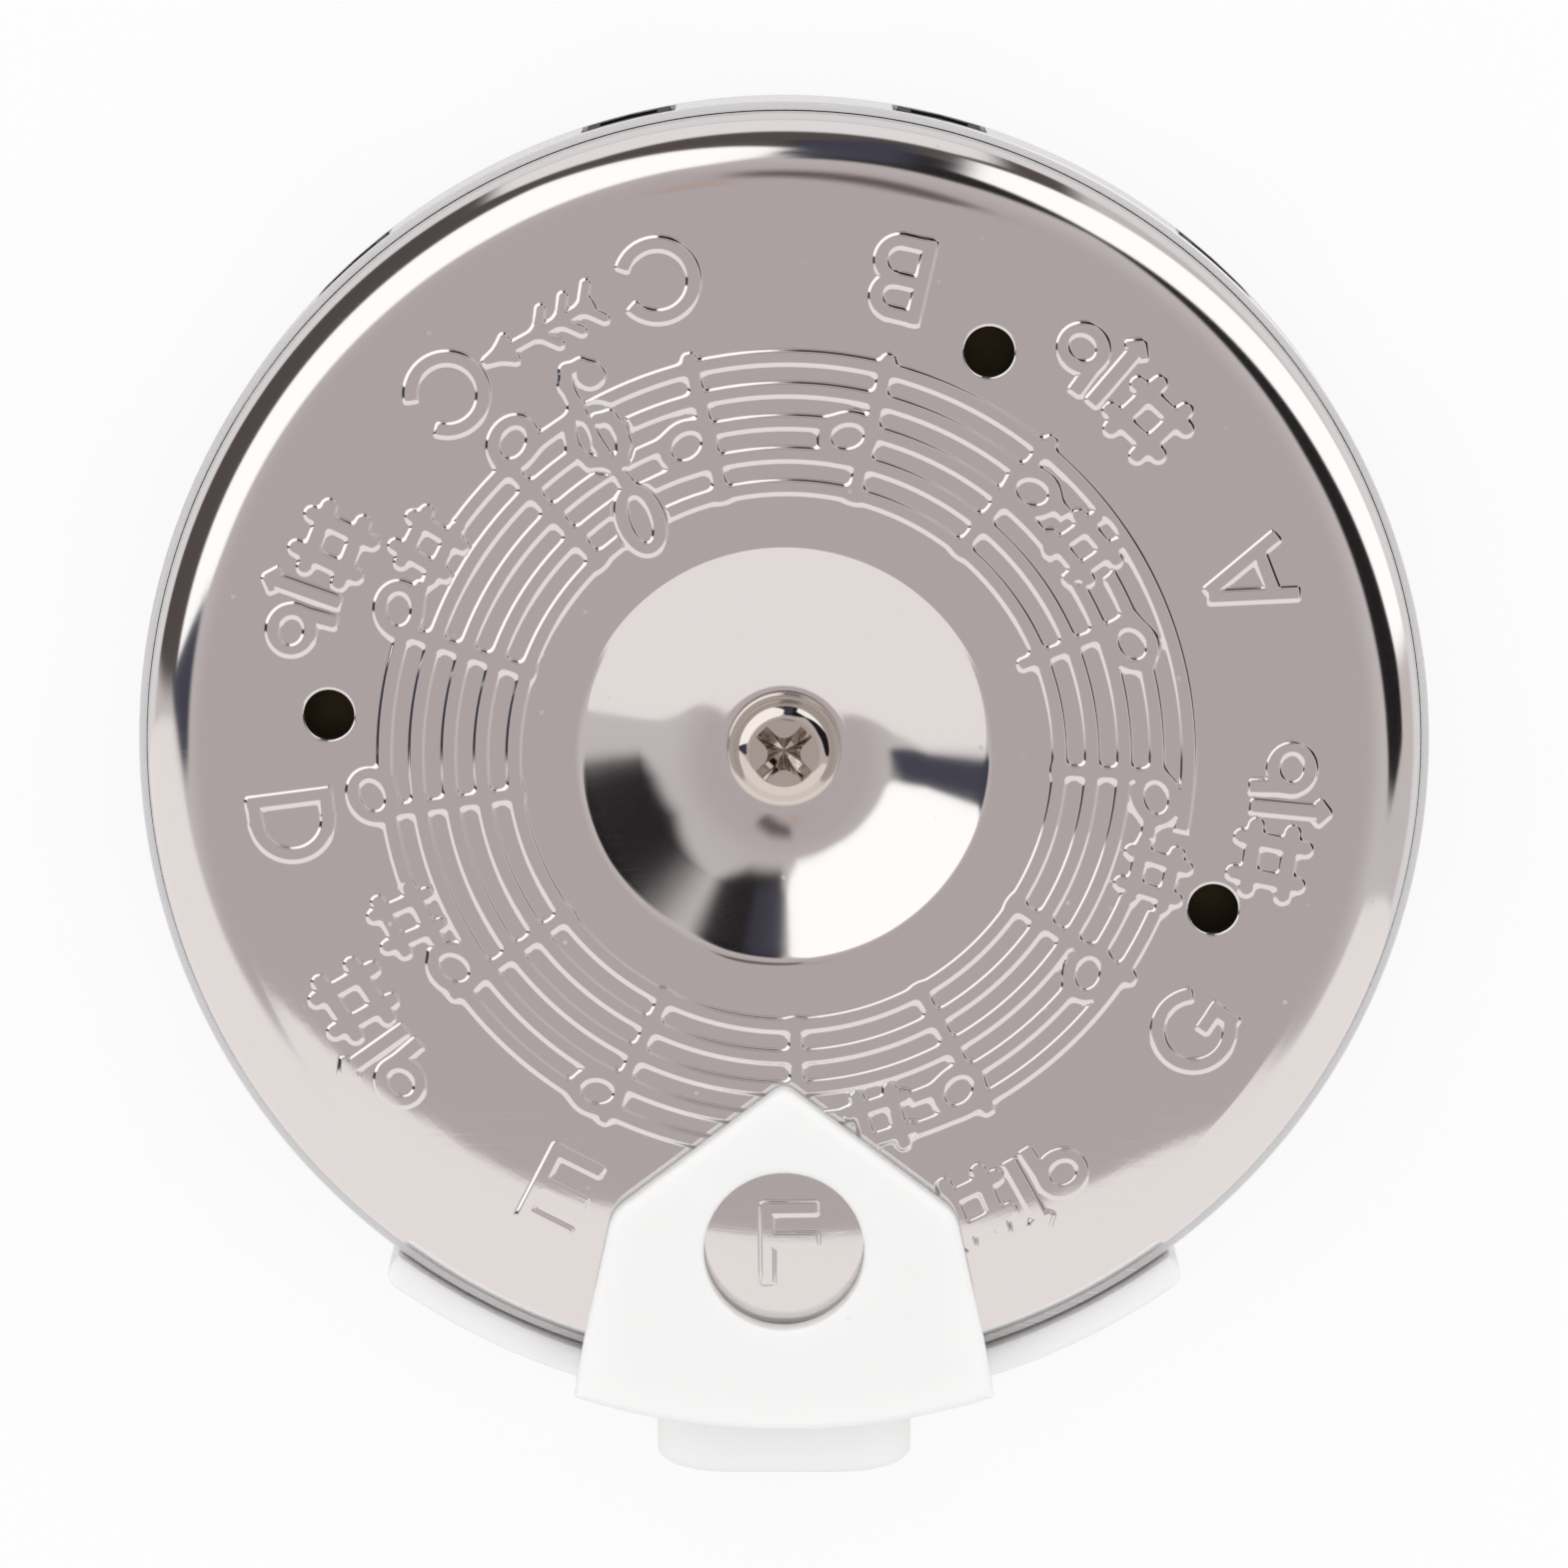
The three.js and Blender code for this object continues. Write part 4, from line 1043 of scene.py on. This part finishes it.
hole_radii = np.append(SOUND_HOLE_RADIUS + HOLE_ROUNDING * (1 - np.sin(hole_turn)), SOUND_HOLE_RADIUS)
hole_heights = np.append(hole_top - HOLE_ROUNDING * (1 - np.cos(hole_turn)), hole_top - SHEET)
for place in hole_places:
    cover.add_turned(hole_radii[::-1], hole_heights[::-1], np.append(-np.sin(hole_turn), -1)[::-1],
                     np.append(np.cos(hole_turn), 0)[::-1], hole_angles, place)
print(f"front cover gathered with {len(cover.points)} points and {len(cover.faces)} faces")


# %% Turn the gathered sheet into a piece
SHEET_WELD = 0.001 * MM


def hand_over(piece, body, material, node):
    """Gives a piece its finish and its body, and hides the CAD node that it stands for."""
    piece.data.materials.clear()
    piece.data.materials.append(material)
    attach(piece, body)
    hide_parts(node)


def sheet_mesh(name, sheet):
    """One welded mesh with the gathered normals."""
    mesh = bpy.data.meshes.new(name)
    points = np.array(sheet.points) * MM + (0, AXIS_Y * MM, 0)
    mesh.from_pydata(points.tolist(), [], sheet.faces)
    kept = mesh.attributes.new("kept_normal", "FLOAT_VECTOR", "POINT")
    kept.data.foreach_set("vector", np.array(sheet.normals, np.float32).ravel())
    work = bmesh.new()
    work.from_mesh(mesh)
    bmesh.ops.remove_doubles(work, verts=work.verts, dist=SHEET_WELD)
    bmesh.ops.recalc_face_normals(work, faces=work.faces)
    work.to_mesh(mesh)
    work.free()
    normals = np.zeros(len(mesh.vertices) * 3, np.float32)
    mesh.attributes["kept_normal"].data.foreach_get("vector", normals)
    mesh.attributes.remove(mesh.attributes["kept_normal"])
    mesh.polygons.foreach_set("use_smooth", [True] * len(mesh.polygons))
    mesh.normals_split_custom_set_from_vertices(normals.reshape(-1, 3).tolist())
    return mesh


front_cover = bpy.data.objects.new("cover_front", sheet_mesh("cover_front", cover))
bpy.context.scene.collection.objects.link(front_cover)
hand_over(front_cover, "case", chrome, "front_cover")
print(f"front cover has {len(front_cover.data.polygons)} faces")

# %% [markdown]
# ## Tools for closed solids
# The moulded and turned pieces are built like the real ones are shaped: a profile is turned, an
# outline is drawn out with rounded edges, and the bodies are joined and cut. They are made in
# millimetres round the disc's axis and set to metres and to their place at the end.


# %% Bodies from rings of points
WELD_MM = 1e-5


def closed_body(name, points, faces):
    """An object for a closed mesh, its doubled points welded and its faces turned outwards."""
    mesh = bpy.data.meshes.new(name)
    mesh.from_pydata([tuple(map(float, point)) for point in points], [], faces)
    work = bmesh.new()
    work.from_mesh(mesh)
    bmesh.ops.remove_doubles(work, verts=work.verts, dist=WELD_MM)
    bmesh.ops.recalc_face_normals(work, faces=work.faces)
    work.to_mesh(mesh)
    work.free()
    body = bpy.data.objects.new(name, mesh)
    bpy.context.scene.collection.objects.link(body)
    return body


def turned_body(name, profile, steps=208, centre=(0, 0)):
    """A closed profile of radii and heights, turned about an upright axis."""
    points, faces = [], []
    for r, z in profile:
        points += [(centre[0] + r * math.cos(2 * math.pi * i / steps),
                    centre[1] + r * math.sin(2 * math.pi * i / steps), z) for i in range(steps)]
    for ring in range(len(profile)):
        above = (ring + 1) % len(profile)
        for i in range(steps):
            j = (i + 1) % steps
            faces.append((ring * steps + i, ring * steps + j, above * steps + j, above * steps + i))
    return closed_body(name, points, faces)


def stacked_body(name, layers):
    """A body through rings of points, each with as many points as the next, closed at both ends."""
    steps = len(layers[0])
    points = [point for layer in layers for point in layer]
    faces = [tuple(range(steps)), tuple(range(len(points) - steps, len(points)))]
    for ring in range(len(layers) - 1):
        for i in range(steps):
            a, b = ring * steps + i, ring * steps + (i + 1) % steps
            faces.append((a, b, b + steps, a + steps))
    return closed_body(name, points, faces)


def turned(places, angle):
    """Places turned about the axis by an angle."""
    cos, sin = math.cos(angle), math.sin(angle)
    return [(x * cos - y * sin, x * sin + y * cos) for x, y in places]


def inset(outline, depth):
    """An anticlockwise outline moved inwards, each corner along its mitre."""
    def inward(span):
        return np.stack([-span[:, 1], span[:, 0]], 1) / np.hypot(*span.T)[:, None]
    first = inward(outline - np.roll(outline, 1, 0))
    second = inward(np.roll(outline, -1, 0) - outline)
    return outline + depth * (first + second) / (1 + (first * second).sum(1))[:, None]


def drawn_body(name, outline, low, high, edge=0.0, steps=5):
    """An outline drawn out between two heights, its edges rounded."""
    rings = [(0.0, low)]
    if edge:
        turns = [math.pi / 2 * k / steps for k in range(steps + 1)]
        rings = [(edge * (1 - math.sin(a)), low + edge * (1 - math.cos(a))) for a in turns]
    rings += [(depth, high + low - z) for depth, z in reversed(rings)]
    return stacked_body(name, [np.column_stack([inset(outline, depth), np.full(len(outline), z)])
                               for depth, z in rings])


def round_corners(corners, steps=8):
    """An outline whose corners, each with its place and rounding, are swept round."""
    places = np.array([corner[:2] for corner in corners], float)
    outline = []
    for i, (x, y, rounding) in enumerate(corners):
        corner = places[i]
        if not rounding:
            outline.append(corner)
            continue
        ends = [corner + rounding * (other - corner) / np.linalg.norm(other - corner)
                for other in (places[i - 1], places[(i + 1) % len(places)])]
        for t in np.linspace(0, 1, steps + 1):
            outline.append((1 - t) ** 2 * ends[0] + 2 * t * (1 - t) * corner + t ** 2 * ends[1])
    return np.array(outline)


def soft_box(half, corner, steps):
    """A rectangle round the middle, from its half sides, with rounded corners."""
    sides = ((-1, -1), (1, -1), (1, 1), (-1, 1))
    return round_corners([(x * half[0], y * half[1], corner) for x, y in sides], steps)


def combine(first, *others):
    """Joins, cuts or intersects bodies in order; the first one becomes the result."""
    for operation, other in others:
        modifier = first.modifiers.new(operation, "BOOLEAN")
        modifier.operation = operation
        modifier.solver = "EXACT"
        modifier.object = other
    graph = bpy.context.evaluated_depsgraph_get()
    first.data = bpy.data.meshes.new_from_object(first.evaluated_get(graph))
    first.modifiers.clear()
    for _, other in others:
        bpy.data.objects.remove(other)
    return first


def finish_piece(body, owner, material, node, crease=30):
    """Sets a body to metres and to its place, smooths it up to its creases and hands it over."""
    mesh = body.data
    mesh.transform(Matrix.Translation((0, AXIS_Y * MM, 0)) @ Matrix.Scale(MM, 4))
    mesh.polygons.foreach_set("use_smooth", [True] * len(mesh.polygons))
    mesh.set_sharp_from_angle(angle=math.radians(crease))
    weighted = body.modifiers.new("even shading", "WEIGHTED_NORMAL")
    weighted.keep_sharp = True
    hand_over(body, owner, material, node)


# %% [markdown]
# ## Selector
# The selector is one moulding of white plastic, satin on the outside. Its pointed plate lies over
# the cover, its wall and wings follow the rim, and the mouthpiece leads into the duct. Here it is
# joined from three bodies, and the disc's own shape, the window and the duct are cut from it. What
# the disc leaves under the rim is the hook that runs in the back cover's channel.
# Moulded plastic has no sharp edges, so every outer edge is rounded by some tenths of a millimetre.

# %% White plastic
WHITE = (0.95, 0.945, 0.94)
GREY_DUST = (0.62, 0.6, 0.57, 1)
white_plastic, tree, shader, place = new_finish("white plastic", WHITE, 0.0, 0.36)
dust = place_group(tree, dust_group, {"Vector": place, "Amount": 0.25})
tree.links.new(blend_colours(tree, dust, (*WHITE, 1), GREY_DUST), shader.inputs["Base Color"])
give_haze(tree, shader, place, base=0.34, share=0.15, fineness=0.8, amount=0.4)
shader.inputs["Subsurface Weight"].default_value = 0.85
shader.inputs["Subsurface Radius"].default_value = (1.0, 0.95, 0.9)
shader.inputs["Subsurface Scale"].default_value = 1.2 * MM
give_grain(tree, shader, place, scale=2600.0, detail=2.0, height=0.002 * MM)

# %% Sizes of the selector
SELECTOR_RADIUS = BAND_RADIUS + 1.6
SELECTOR_INNER = BAND_RADIUS + 0.12
PLATE_BOTTOM = PLATE_TOP - 1.45
TAB_BOTTOM = selector_low.z
EDGE_ROUNDING = 0.45
WING_TURN = math.radians(37)
FOOT_HALF = 10.75
FOOT_SWING = math.asin(FOOT_HALF / SELECTOR_RADIUS)
GABLE = ((10.25, -29.9, 0.5), (8.8, -23.3, 0.8), (0, -16.6, 0.7), (-8.8, -23.3, 0.8),
         (-10.25, -29.9, 0.5))
WINDOW_REACH = 25.2
WINDOW_RADIUS = 4.1
WINDOW_ROUNDING = 0.22
print(f"selector {2 * SELECTOR_RADIUS:.1f} mm round the rim, mouthpiece to {MOUTH_REACH:.1f} mm")


def rim_arc(radius, start, end, steps):
    """Points along a circle about the axis."""
    turns = np.linspace(start, end, steps)
    return np.stack([radius * np.cos(turns), radius * np.sin(turns)], 1)


# %% Plate
foot_y = -SELECTOR_RADIUS * math.cos(FOOT_SWING)
gable = round_corners([(FOOT_HALF, foot_y, 0), *GABLE, (-FOOT_HALF, foot_y, 0)])
rim_side = rim_arc(SELECTOR_RADIUS, -math.pi / 2 - FOOT_SWING, -math.pi / 2 + FOOT_SWING, 49)[1:-1]
plate = drawn_body("selector_body", np.vstack([gable, rim_side]), TAB_BOTTOM, PLATE_TOP, EDGE_ROUNDING)

# %% Wings
WING_ROUNDING = 0.95
WING_HALF_HEIGHT = 3.3
WING_EDGE = 0.3
wing_back = WING_ROUNDING / SELECTOR_RADIUS
wing_start, wing_end = -math.pi / 2 - WING_TURN, -math.pi / 2 + WING_TURN
wing_outer = rim_arc(SELECTOR_RADIUS, wing_start + wing_back, wing_end - wing_back, 121)
wing_inner = rim_arc(SELECTOR_INNER - 1, wing_end, wing_start, 121)


def wing_tip(side_turn, order):
    """Rounded end of a wing between its outer face and its end face."""
    a = rim_arc(SELECTOR_RADIUS - WING_ROUNDING, side_turn, side_turn, 1)[0]
    c = rim_arc(SELECTOR_RADIUS, side_turn, side_turn, 1)[0]
    inwards = side_turn + wing_back * (1 if side_turn < -math.pi / 2 else -1)
    b = rim_arc(SELECTOR_RADIUS, inwards, inwards, 1)[0]
    sweep = [(1 - t) ** 2 * a + 2 * t * (1 - t) * c + t ** 2 * b for t in np.linspace(0, 1, 8)[:-1]]
    return np.array(sweep)[::order]


wing_outline = np.vstack([wing_tip(wing_start, 1), wing_outer, wing_tip(wing_end, -1), wing_inner])
wings = drawn_body("wings", wing_outline, MID_HEIGHT - WING_HALF_HEIGHT, MID_HEIGHT + WING_HALF_HEIGHT,
                   WING_EDGE)

# %% Mouthpiece
MOUTH_HALF = (6.6, 3.65)
MOUTH_END = (2.4, 0.6)
MOUTH_END_LENGTH = 0.86
MOUTH_CORNER = 2.7
mouth_outline = soft_box(MOUTH_HALF, MOUTH_CORNER, 12)


def upright(outline, reach):
    """An outline stood up across the mouthpiece at a distance from the axis."""
    return np.stack([outline[:, 0], np.full(len(outline), -reach), MID_HEIGHT + outline[:, 1]], 1)


end_turns = [math.pi / 2 * k / 8 for k in range(9)]
mouth_layers = [upright(mouth_outline, SELECTOR_INNER - 1)]
for a in end_turns:
    drawn_in = mouth_outline * (1 - (1 - math.cos(a)) * np.array(MOUTH_END) / MOUTH_HALF)
    mouth_layers.append(upright(drawn_in, MOUTH_REACH - MOUTH_END_LENGTH * (1 - math.sin(a))))
mouthpiece = stacked_body("mouthpiece", mouth_layers)

# %% Cut the disc's shape, the window and the duct
TAB_TOP = 1.65
HOOK_START = 26.3
HOOK_END = 28.5
HOOK_TOP = TAB_TOP + 0.9
DUCT_HALF = (5.3, 2.35)
DUCT_CORNER = 1.4
hollow = turned_body("hollow", [(0, -1), (HOOK_START, -1), (HOOK_START, HOOK_TOP), (HOOK_END, HOOK_TOP),
                                (HOOK_END, TAB_TOP), (SELECTOR_INNER, TAB_TOP),
                                (SELECTOR_INNER, PLATE_BOTTOM), (0, PLATE_BOTTOM)], 312)
window_edge = [(WINDOW_RADIUS + WINDOW_ROUNDING * (1 - math.cos(a)),
                PLATE_TOP - WINDOW_ROUNDING + WINDOW_ROUNDING * math.sin(a)) for a in end_turns[::2]]
window_top = [(WINDOW_RADIUS + WINDOW_ROUNDING, PLATE_TOP + 1), (0, PLATE_TOP + 1)]
window = turned_body("window", [(0, FACE), (WINDOW_RADIUS, FACE)] + window_edge + window_top, 96,
                     (0, -WINDOW_REACH))
duct_outline = soft_box(DUCT_HALF, DUCT_CORNER, 8)
duct = stacked_body("duct", [upright(duct_outline, reach)
                             for reach in (SELECTOR_INNER - 1, MOUTH_REACH + 1)])
selector = combine(plate, ("UNION", wings), ("UNION", mouthpiece), ("DIFFERENCE", hollow),
                   ("DIFFERENCE", window), ("DIFFERENCE", duct))
finish_piece(selector, "selector", white_plastic, "selector")
print(f"selector has {len(selector.data.polygons)} faces")

# %% [markdown]
# ## Rim band
# The band is a strip of bright metal, bent to a ring, with a punched window for every opening. It
# is handled more than the covers, so its shine is scuffed and pale instead of mirror-like.

# %% Build the rim band
BAND_PALE = (0.86, 0.86, 0.885)
pale_band, tree, shader, place = new_finish("scuffed band", BAND_PALE, 0.35, 0.28)
give_haze(tree, shader, place, base=0.24, share=0.25, fineness=0.7, amount=0.8)

BAND_SHEET = 0.4
WINDOW_HALF = 2.45
WINDOW_FRAME = 0.45
BAND_EDGE = 0.06
band = turned_body("rim_band_strip", [
    (BAND_RADIUS - BAND_SHEET, BAND_BOTTOM), (BAND_RADIUS - BAND_EDGE, BAND_BOTTOM),
    (BAND_RADIUS, BAND_BOTTOM + BAND_EDGE), (BAND_RADIUS, BAND_TOP - BAND_EDGE),
    (BAND_RADIUS - BAND_EDGE, BAND_TOP), (BAND_RADIUS - BAND_SHEET, BAND_TOP)], TURN_STEPS)
punch = [(r, t) for r in (BAND_RADIUS - 2, BAND_RADIUS + 1) for t in (-WINDOW_HALF, WINDOW_HALF)]
punch_points, punch_faces = [], []
for note in range(NOTE_COUNT):
    start = len(punch_points)
    for x, y in turned(punch, -math.pi / 2 + math.radians((note - SELECTED_NOTE) * PITCH)):
        punch_points += [(x, y, BAND_BOTTOM + WINDOW_FRAME), (x, y, BAND_TOP - WINDOW_FRAME)]
    for face in ((0, 1, 3, 2), (4, 6, 7, 5), (0, 4, 5, 1), (2, 3, 7, 6), (0, 2, 6, 4), (1, 5, 7, 3)):
        punch_faces.append(tuple(start + corner for corner in face))
band = combine(band, ("DIFFERENCE", closed_body("punches", punch_points, punch_faces)))
finish_piece(band, "case", pale_band, "rim_band")
print(f"rim band with {NOTE_COUNT} windows has {len(band.data.polygons)} faces")

# %% [markdown]
# ## Back cover
# The back is pressed like the front: a dish for the nut, a flat ring to lie on, a channel in which
# the selector's hook runs, and a bead that keeps the hook in. Pressed sheet can't turn a sharp
# corner, so each corner of the profile is swept round.

# %% Build the back cover
screw_low, screw_high = box_mm("centre_screw")
BACK_DISH_DEPTH = 3.0
BACK_FLAT = 24.6
CHANNEL_START = BACK_FLAT + 1.1
CHANNEL_END = 28.65
CHANNEL_DEPTH = 2.85
BEAD_START = 29.25
SIDE_SHIFT = 0.62
BEAD_HEIGHT = 1.95
BEAD_REACH = 30.15
BACK_ROLL_TOP = BAND_BOTTOM - 0.35
washer_low, washer_high = box_mm("centre_washer")
washer_radius = (washer_high.x - washer_low.x) / 2
back_radii, back_heights, _ = dish_profile(BACK_DISH_DEPTH, washer_radius + 0.2, 30)
print(f"washer {washer_radius:.2f} mm in radius lies on the back dish's floor")
back_roll = [(BEAD_REACH + (COVER_RADIUS - BEAD_REACH) * math.cos(a),
              BACK_ROLL_TOP + (BACK_ROLL_TOP - BEAD_HEIGHT) * math.sin(a))
             for a in np.linspace(-math.pi / 2, 0, 13)]


def back_line(lift):
    """The pressed line of the back cover, or its inner side when it is lifted by the sheet."""
    shift = lift * SIDE_SHIFT
    bends = round_corners([(BACK_FLAT - 3, lift, 0), (BACK_FLAT - shift, lift, 0.6),
                           (CHANNEL_START - shift, CHANNEL_DEPTH + lift, 0.5),
                           (CHANNEL_END + shift, CHANNEL_DEPTH + lift, 0.35),
                           (BEAD_START + shift, BEAD_HEIGHT + lift, 0.3),
                           (BEAD_REACH - 0.05, BEAD_HEIGHT + lift, 0)], 5)
    shrink = (COVER_RADIUS - BEAD_REACH - lift) / (COVER_RADIUS - BEAD_REACH)
    roll = [(BEAD_REACH + (r - BEAD_REACH) * shrink,
             BACK_ROLL_TOP - (BACK_ROLL_TOP - z) * (BACK_ROLL_TOP - BEAD_HEIGHT - lift)
             / (BACK_ROLL_TOP - BEAD_HEIGHT)) for r, z in back_roll]
    dish = [(r, -h + lift) for r, h in zip(back_radii, back_heights)]
    return dish + [tuple(p) for p in bends] + roll + [(COVER_RADIUS - lift, BAND_BOTTOM - 0.1)]


back = turned_body("cover_back", back_line(0.0) + back_line(SHEET)[::-1])
finish_piece(back, "case", chrome, "back_cover", crease=50)
print(f"back cover has {len(back.data.polygons)} faces")

# %% [markdown]
# ## Screw, washer and nut
# The whole pipe is held by one screw through its middle. Its head is nickel-plated with a cross
# recess that narrows towards its pointed floor. Painted shade, a patchy brown that grows towards
# the floor, is mixed into the nickel in the recess. The shank carries a real thread, which shows
# where it comes out of the nut.

# %% Nickel
NICKEL = (0.80, 0.755, 0.70)
RECESS_SHADE = (0.17, 0.12, 0.08, 1)
# Painted shade in the cross recess: a brown mixed into the nickel, stronger deeper down and in patches.
RECESS_SHADE_SHARE = 0.55
RECESS_SHADE_DEPTHS = (0.1, 0.7)
RECESS_SHADE_REACH = (1.9, 1.65)
RECESS_SHADE_PATCHES = (0.3, 0.55)
NICKEL_WAVES = 0.003 * MM
nickel, tree, shader, place = new_finish("nickel", NICKEL, 1.0, 0.08)
give_haze(tree, shader, place, base=0.05, share=0.12, fineness=1.4, amount=0.5)
height = add_node(tree, "ShaderNodeSeparateXYZ", {0: place}).outputs[2]
deep = soft_step(tree, height, *((screw_high.z - depth) * MM for depth in RECESS_SHADE_DEPTHS))
from_screw = add_node(tree, "ShaderNodeVectorMath", {0: place, 1: (0, AXIS_Y * MM, screw_high.z * MM)},
                      operation="DISTANCE")
inside_head = soft_step(tree, from_screw.outputs["Value"], *(reach * MM for reach in RECESS_SHADE_REACH))
recess_shade_noise = add_node(tree, "ShaderNodeTexNoise", {"Vector": place, "Scale": 1500.0, "Detail": 3.0})
patches = soft_step(tree, recess_shade_noise.outputs[0], *RECESS_SHADE_PATCHES)
# Share of the recess's painted shade: deep in the head, near its middle, in patches.
recess_shade = product(tree, deep, inside_head, patches, RECESS_SHADE_SHARE)
tree.links.new(blend_colours(tree, recess_shade, (*NICKEL, 1), RECESS_SHADE), shader.inputs["Base Color"])
give_relief(tree, shader, place_group(tree, wave_group, {"Vector": place}), NICKEL_WAVES)

# %% Turn the head
HEAD_BASE = screw_high.z - 1.85
HEAD_RADIUS = (screw_high.x - screw_low.x) / 2
FLANGE_TOP = HEAD_BASE + 0.45
FLANGE_ROUNDING = 0.2
DOME_SLOPES = ((1.7, 0), (1.8, 20), (2.45, 44), (2.6, 70))
flange = [(HEAD_RADIUS - FLANGE_ROUNDING * (1 - math.cos(a)),
           FLANGE_TOP - FLANGE_ROUNDING * (1 - math.sin(a))) for a in np.linspace(0, math.pi / 2, 5)]
dome_radii = np.linspace(DOME_SLOPES[0][0], DOME_SLOPES[-1][0], 25)
falls = np.tan(np.radians(np.interp(dome_radii, *zip(*DOME_SLOPES))))
dome_drops = np.concatenate([[0], np.cumsum((falls[1:] + falls[:-1]) / 2 * np.diff(dome_radii))])
dome = [(r, screw_high.z - drop) for r, drop in zip(dome_radii, dome_drops)][::-1]
dome.insert(0, (DOME_SLOPES[-1][0], FLANGE_TOP))
head_profile = [(0, HEAD_BASE), (HEAD_RADIUS, HEAD_BASE)] + flange + dome + [(0, screw_high.z)]
head = turned_body("screw_head", head_profile, 96)
print(f"screw head {2 * HEAD_RADIUS:.2f} mm across, its dome {dome_drops[-1]:.2f} mm high")

# %% Shape the cross recess
ARM_HALF = 0.39
ARM_REACH = 1.63
ARM_FILLET = 0.66
quarter = [(ARM_REACH, -ARM_HALF), (ARM_REACH, ARM_HALF)]
quarter += [(ARM_HALF + ARM_FILLET * (1 + math.cos(a)), ARM_HALF + ARM_FILLET * (1 + math.sin(a)))
            for a in np.linspace(-math.pi / 2, -math.pi, 7)]
cross = np.array([place for k in range(4) for place in turned(quarter, math.pi / 4 + k * math.pi / 2)])
RECESS_RINGS = ((1.12, 0.4), (1.0, 0.0), (0.72, -0.6), (0.02, -1.3))
recess = stacked_body("recess", [np.column_stack([cross * scale, np.full(len(cross), screw_high.z + drop)])
                                 for scale, drop in RECESS_RINGS])

# %% Cut the thread
THREAD_PITCH = 0.7
THREAD_DEPTH = 0.16
THREAD_FLANK = 1.25
THREAD_STEPS = 48
SHANK_RADIUS = 1.5
SHANK_LOW = screw_low.z
SHANK_POINT = 0.25
thread = []
for z in np.arange(SHANK_LOW, HEAD_BASE + 0.2, THREAD_PITCH / 8):
    phase = z / THREAD_PITCH - np.arange(THREAD_STEPS) / THREAD_STEPS
    groove = np.abs((phase % 1) * 2 - 1)
    cut_in = THREAD_DEPTH * (1 - np.clip(groove * THREAD_FLANK, 0, 1))
    cut_in += max(0, SHANK_POINT - (z - SHANK_LOW))
    turns = 2 * np.pi * np.arange(THREAD_STEPS) / THREAD_STEPS
    thread.append(np.column_stack([(SHANK_RADIUS - cut_in) * np.cos(turns),
                                   (SHANK_RADIUS - cut_in) * np.sin(turns), np.full(THREAD_STEPS, z)]))
screw = combine(head, ("UNION", stacked_body("shank", thread)), ("DIFFERENCE", recess))
finish_piece(screw, "case", nickel, "centre_screw", crease=38)
print(f"screw has {len(screw.data.polygons)} faces, its thread {len(thread)} rings")

# %% Washer and nut
WASHER_EDGE = 0.08
washer = turned_body("washer", [
    (SCREW_HOLE, washer_low.z), (washer_radius - WASHER_EDGE, washer_low.z),
    (washer_radius, washer_low.z + WASHER_EDGE), (washer_radius, washer_high.z - WASHER_EDGE),
    (washer_radius - WASHER_EDGE, washer_high.z), (SCREW_HOLE, washer_high.z)], 64)
finish_piece(washer, "case", nickel, "centre_washer")

nut_low, nut_high = box_mm("centre_nut")
NUT_FLAT = 2.75
NUT_CORNER = NUT_FLAT / math.cos(math.pi / 6)
NUT_BORE = 1.7
NUT_CHAMFER = 0.3
hexagon = np.array([(NUT_CORNER * math.cos(a), NUT_CORNER * math.sin(a))
                    for a in np.arange(6) * math.pi / 3 - math.pi / 2])
nut = combine(
    drawn_body("nut", hexagon, nut_low.z, nut_high.z),
    ("INTERSECT", turned_body("nut_chamfer", [(0, nut_low.z), (NUT_FLAT, nut_low.z),
                                              (NUT_FLAT + 0.5, nut_low.z + NUT_CHAMFER),
                                              (NUT_FLAT + 0.5, nut_high.z), (0, nut_high.z)], 72)),
    ("DIFFERENCE", turned_body("nut_bore", [(0, nut_low.z - 1), (NUT_BORE, nut_low.z - 1),
                                            (NUT_BORE, nut_high.z + 1), (0, nut_high.z + 1)], 48)))
finish_piece(nut, "case", nickel, "centre_nut")
print(f"nut {2 * NUT_FLAT:.1f} mm across its flats")

# %% [markdown]
# ## Pieces that keep their CAD shape
# The comb, the reed plate, the reeds, their rivets and the plate screws lie inside, where only the
# nozzles and a glimpse through the sound holes show. They keep the CAD shapes and get the finishes
# of the real ones: black moulded plastic, old reed brass gone dull, and nickel.

# %% Black plastic and brass
BLACK = (0.006, 0.006, 0.007)
OLD_BRASS = (0.07, 0.05, 0.025)
DARK_TARNISH = (0.03, 0.022, 0.015, 1)
LIGHT_TARNISH = (0.12, 0.085, 0.035, 1)
BRASS = (0.69, 0.55, 0.29)
black_plastic, tree, shader, place = new_finish("black plastic", BLACK, 0.0, 0.5)
give_grain(tree, shader, place, scale=1800.0, detail=2.0, height=0.008 * MM)
shader.inputs["Specular IOR Level"].default_value = 0.15

dull_brass, tree, shader, place = new_finish("dull brass", OLD_BRASS, 0.7, 0.6)
tarnish = add_node(tree, "ShaderNodeTexNoise", {"Vector": place, "Scale": 420.0, "Detail": 5.0})
tree.links.new(blend_colours(tree, tarnish.outputs[0], DARK_TARNISH, LIGHT_TARNISH),
               shader.inputs["Base Color"])

reed_brass, tree, shader, place = new_finish("reed brass", BRASS, 1.0, 0.32)
give_grain(tree, shader, place, scale=900.0, detail=3.0, height=0.004 * MM)

# %% Give the kept nodes their finish
KEPT_FINISHES = (("reed_comb", black_plastic), ("reed_plate", dull_brass), ("reed_", reed_brass),
                 ("plate_screw", nickel))
dressed = 0
for name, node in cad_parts.items():
    finish = next((finish for start, finish in KEPT_FINISHES if name.startswith(start)), None)
    if finish is not None:
        node.data.materials.clear()
        node.data.materials.append(finish)
        dressed += 1
print(f"{dressed} nodes keep their CAD shape")
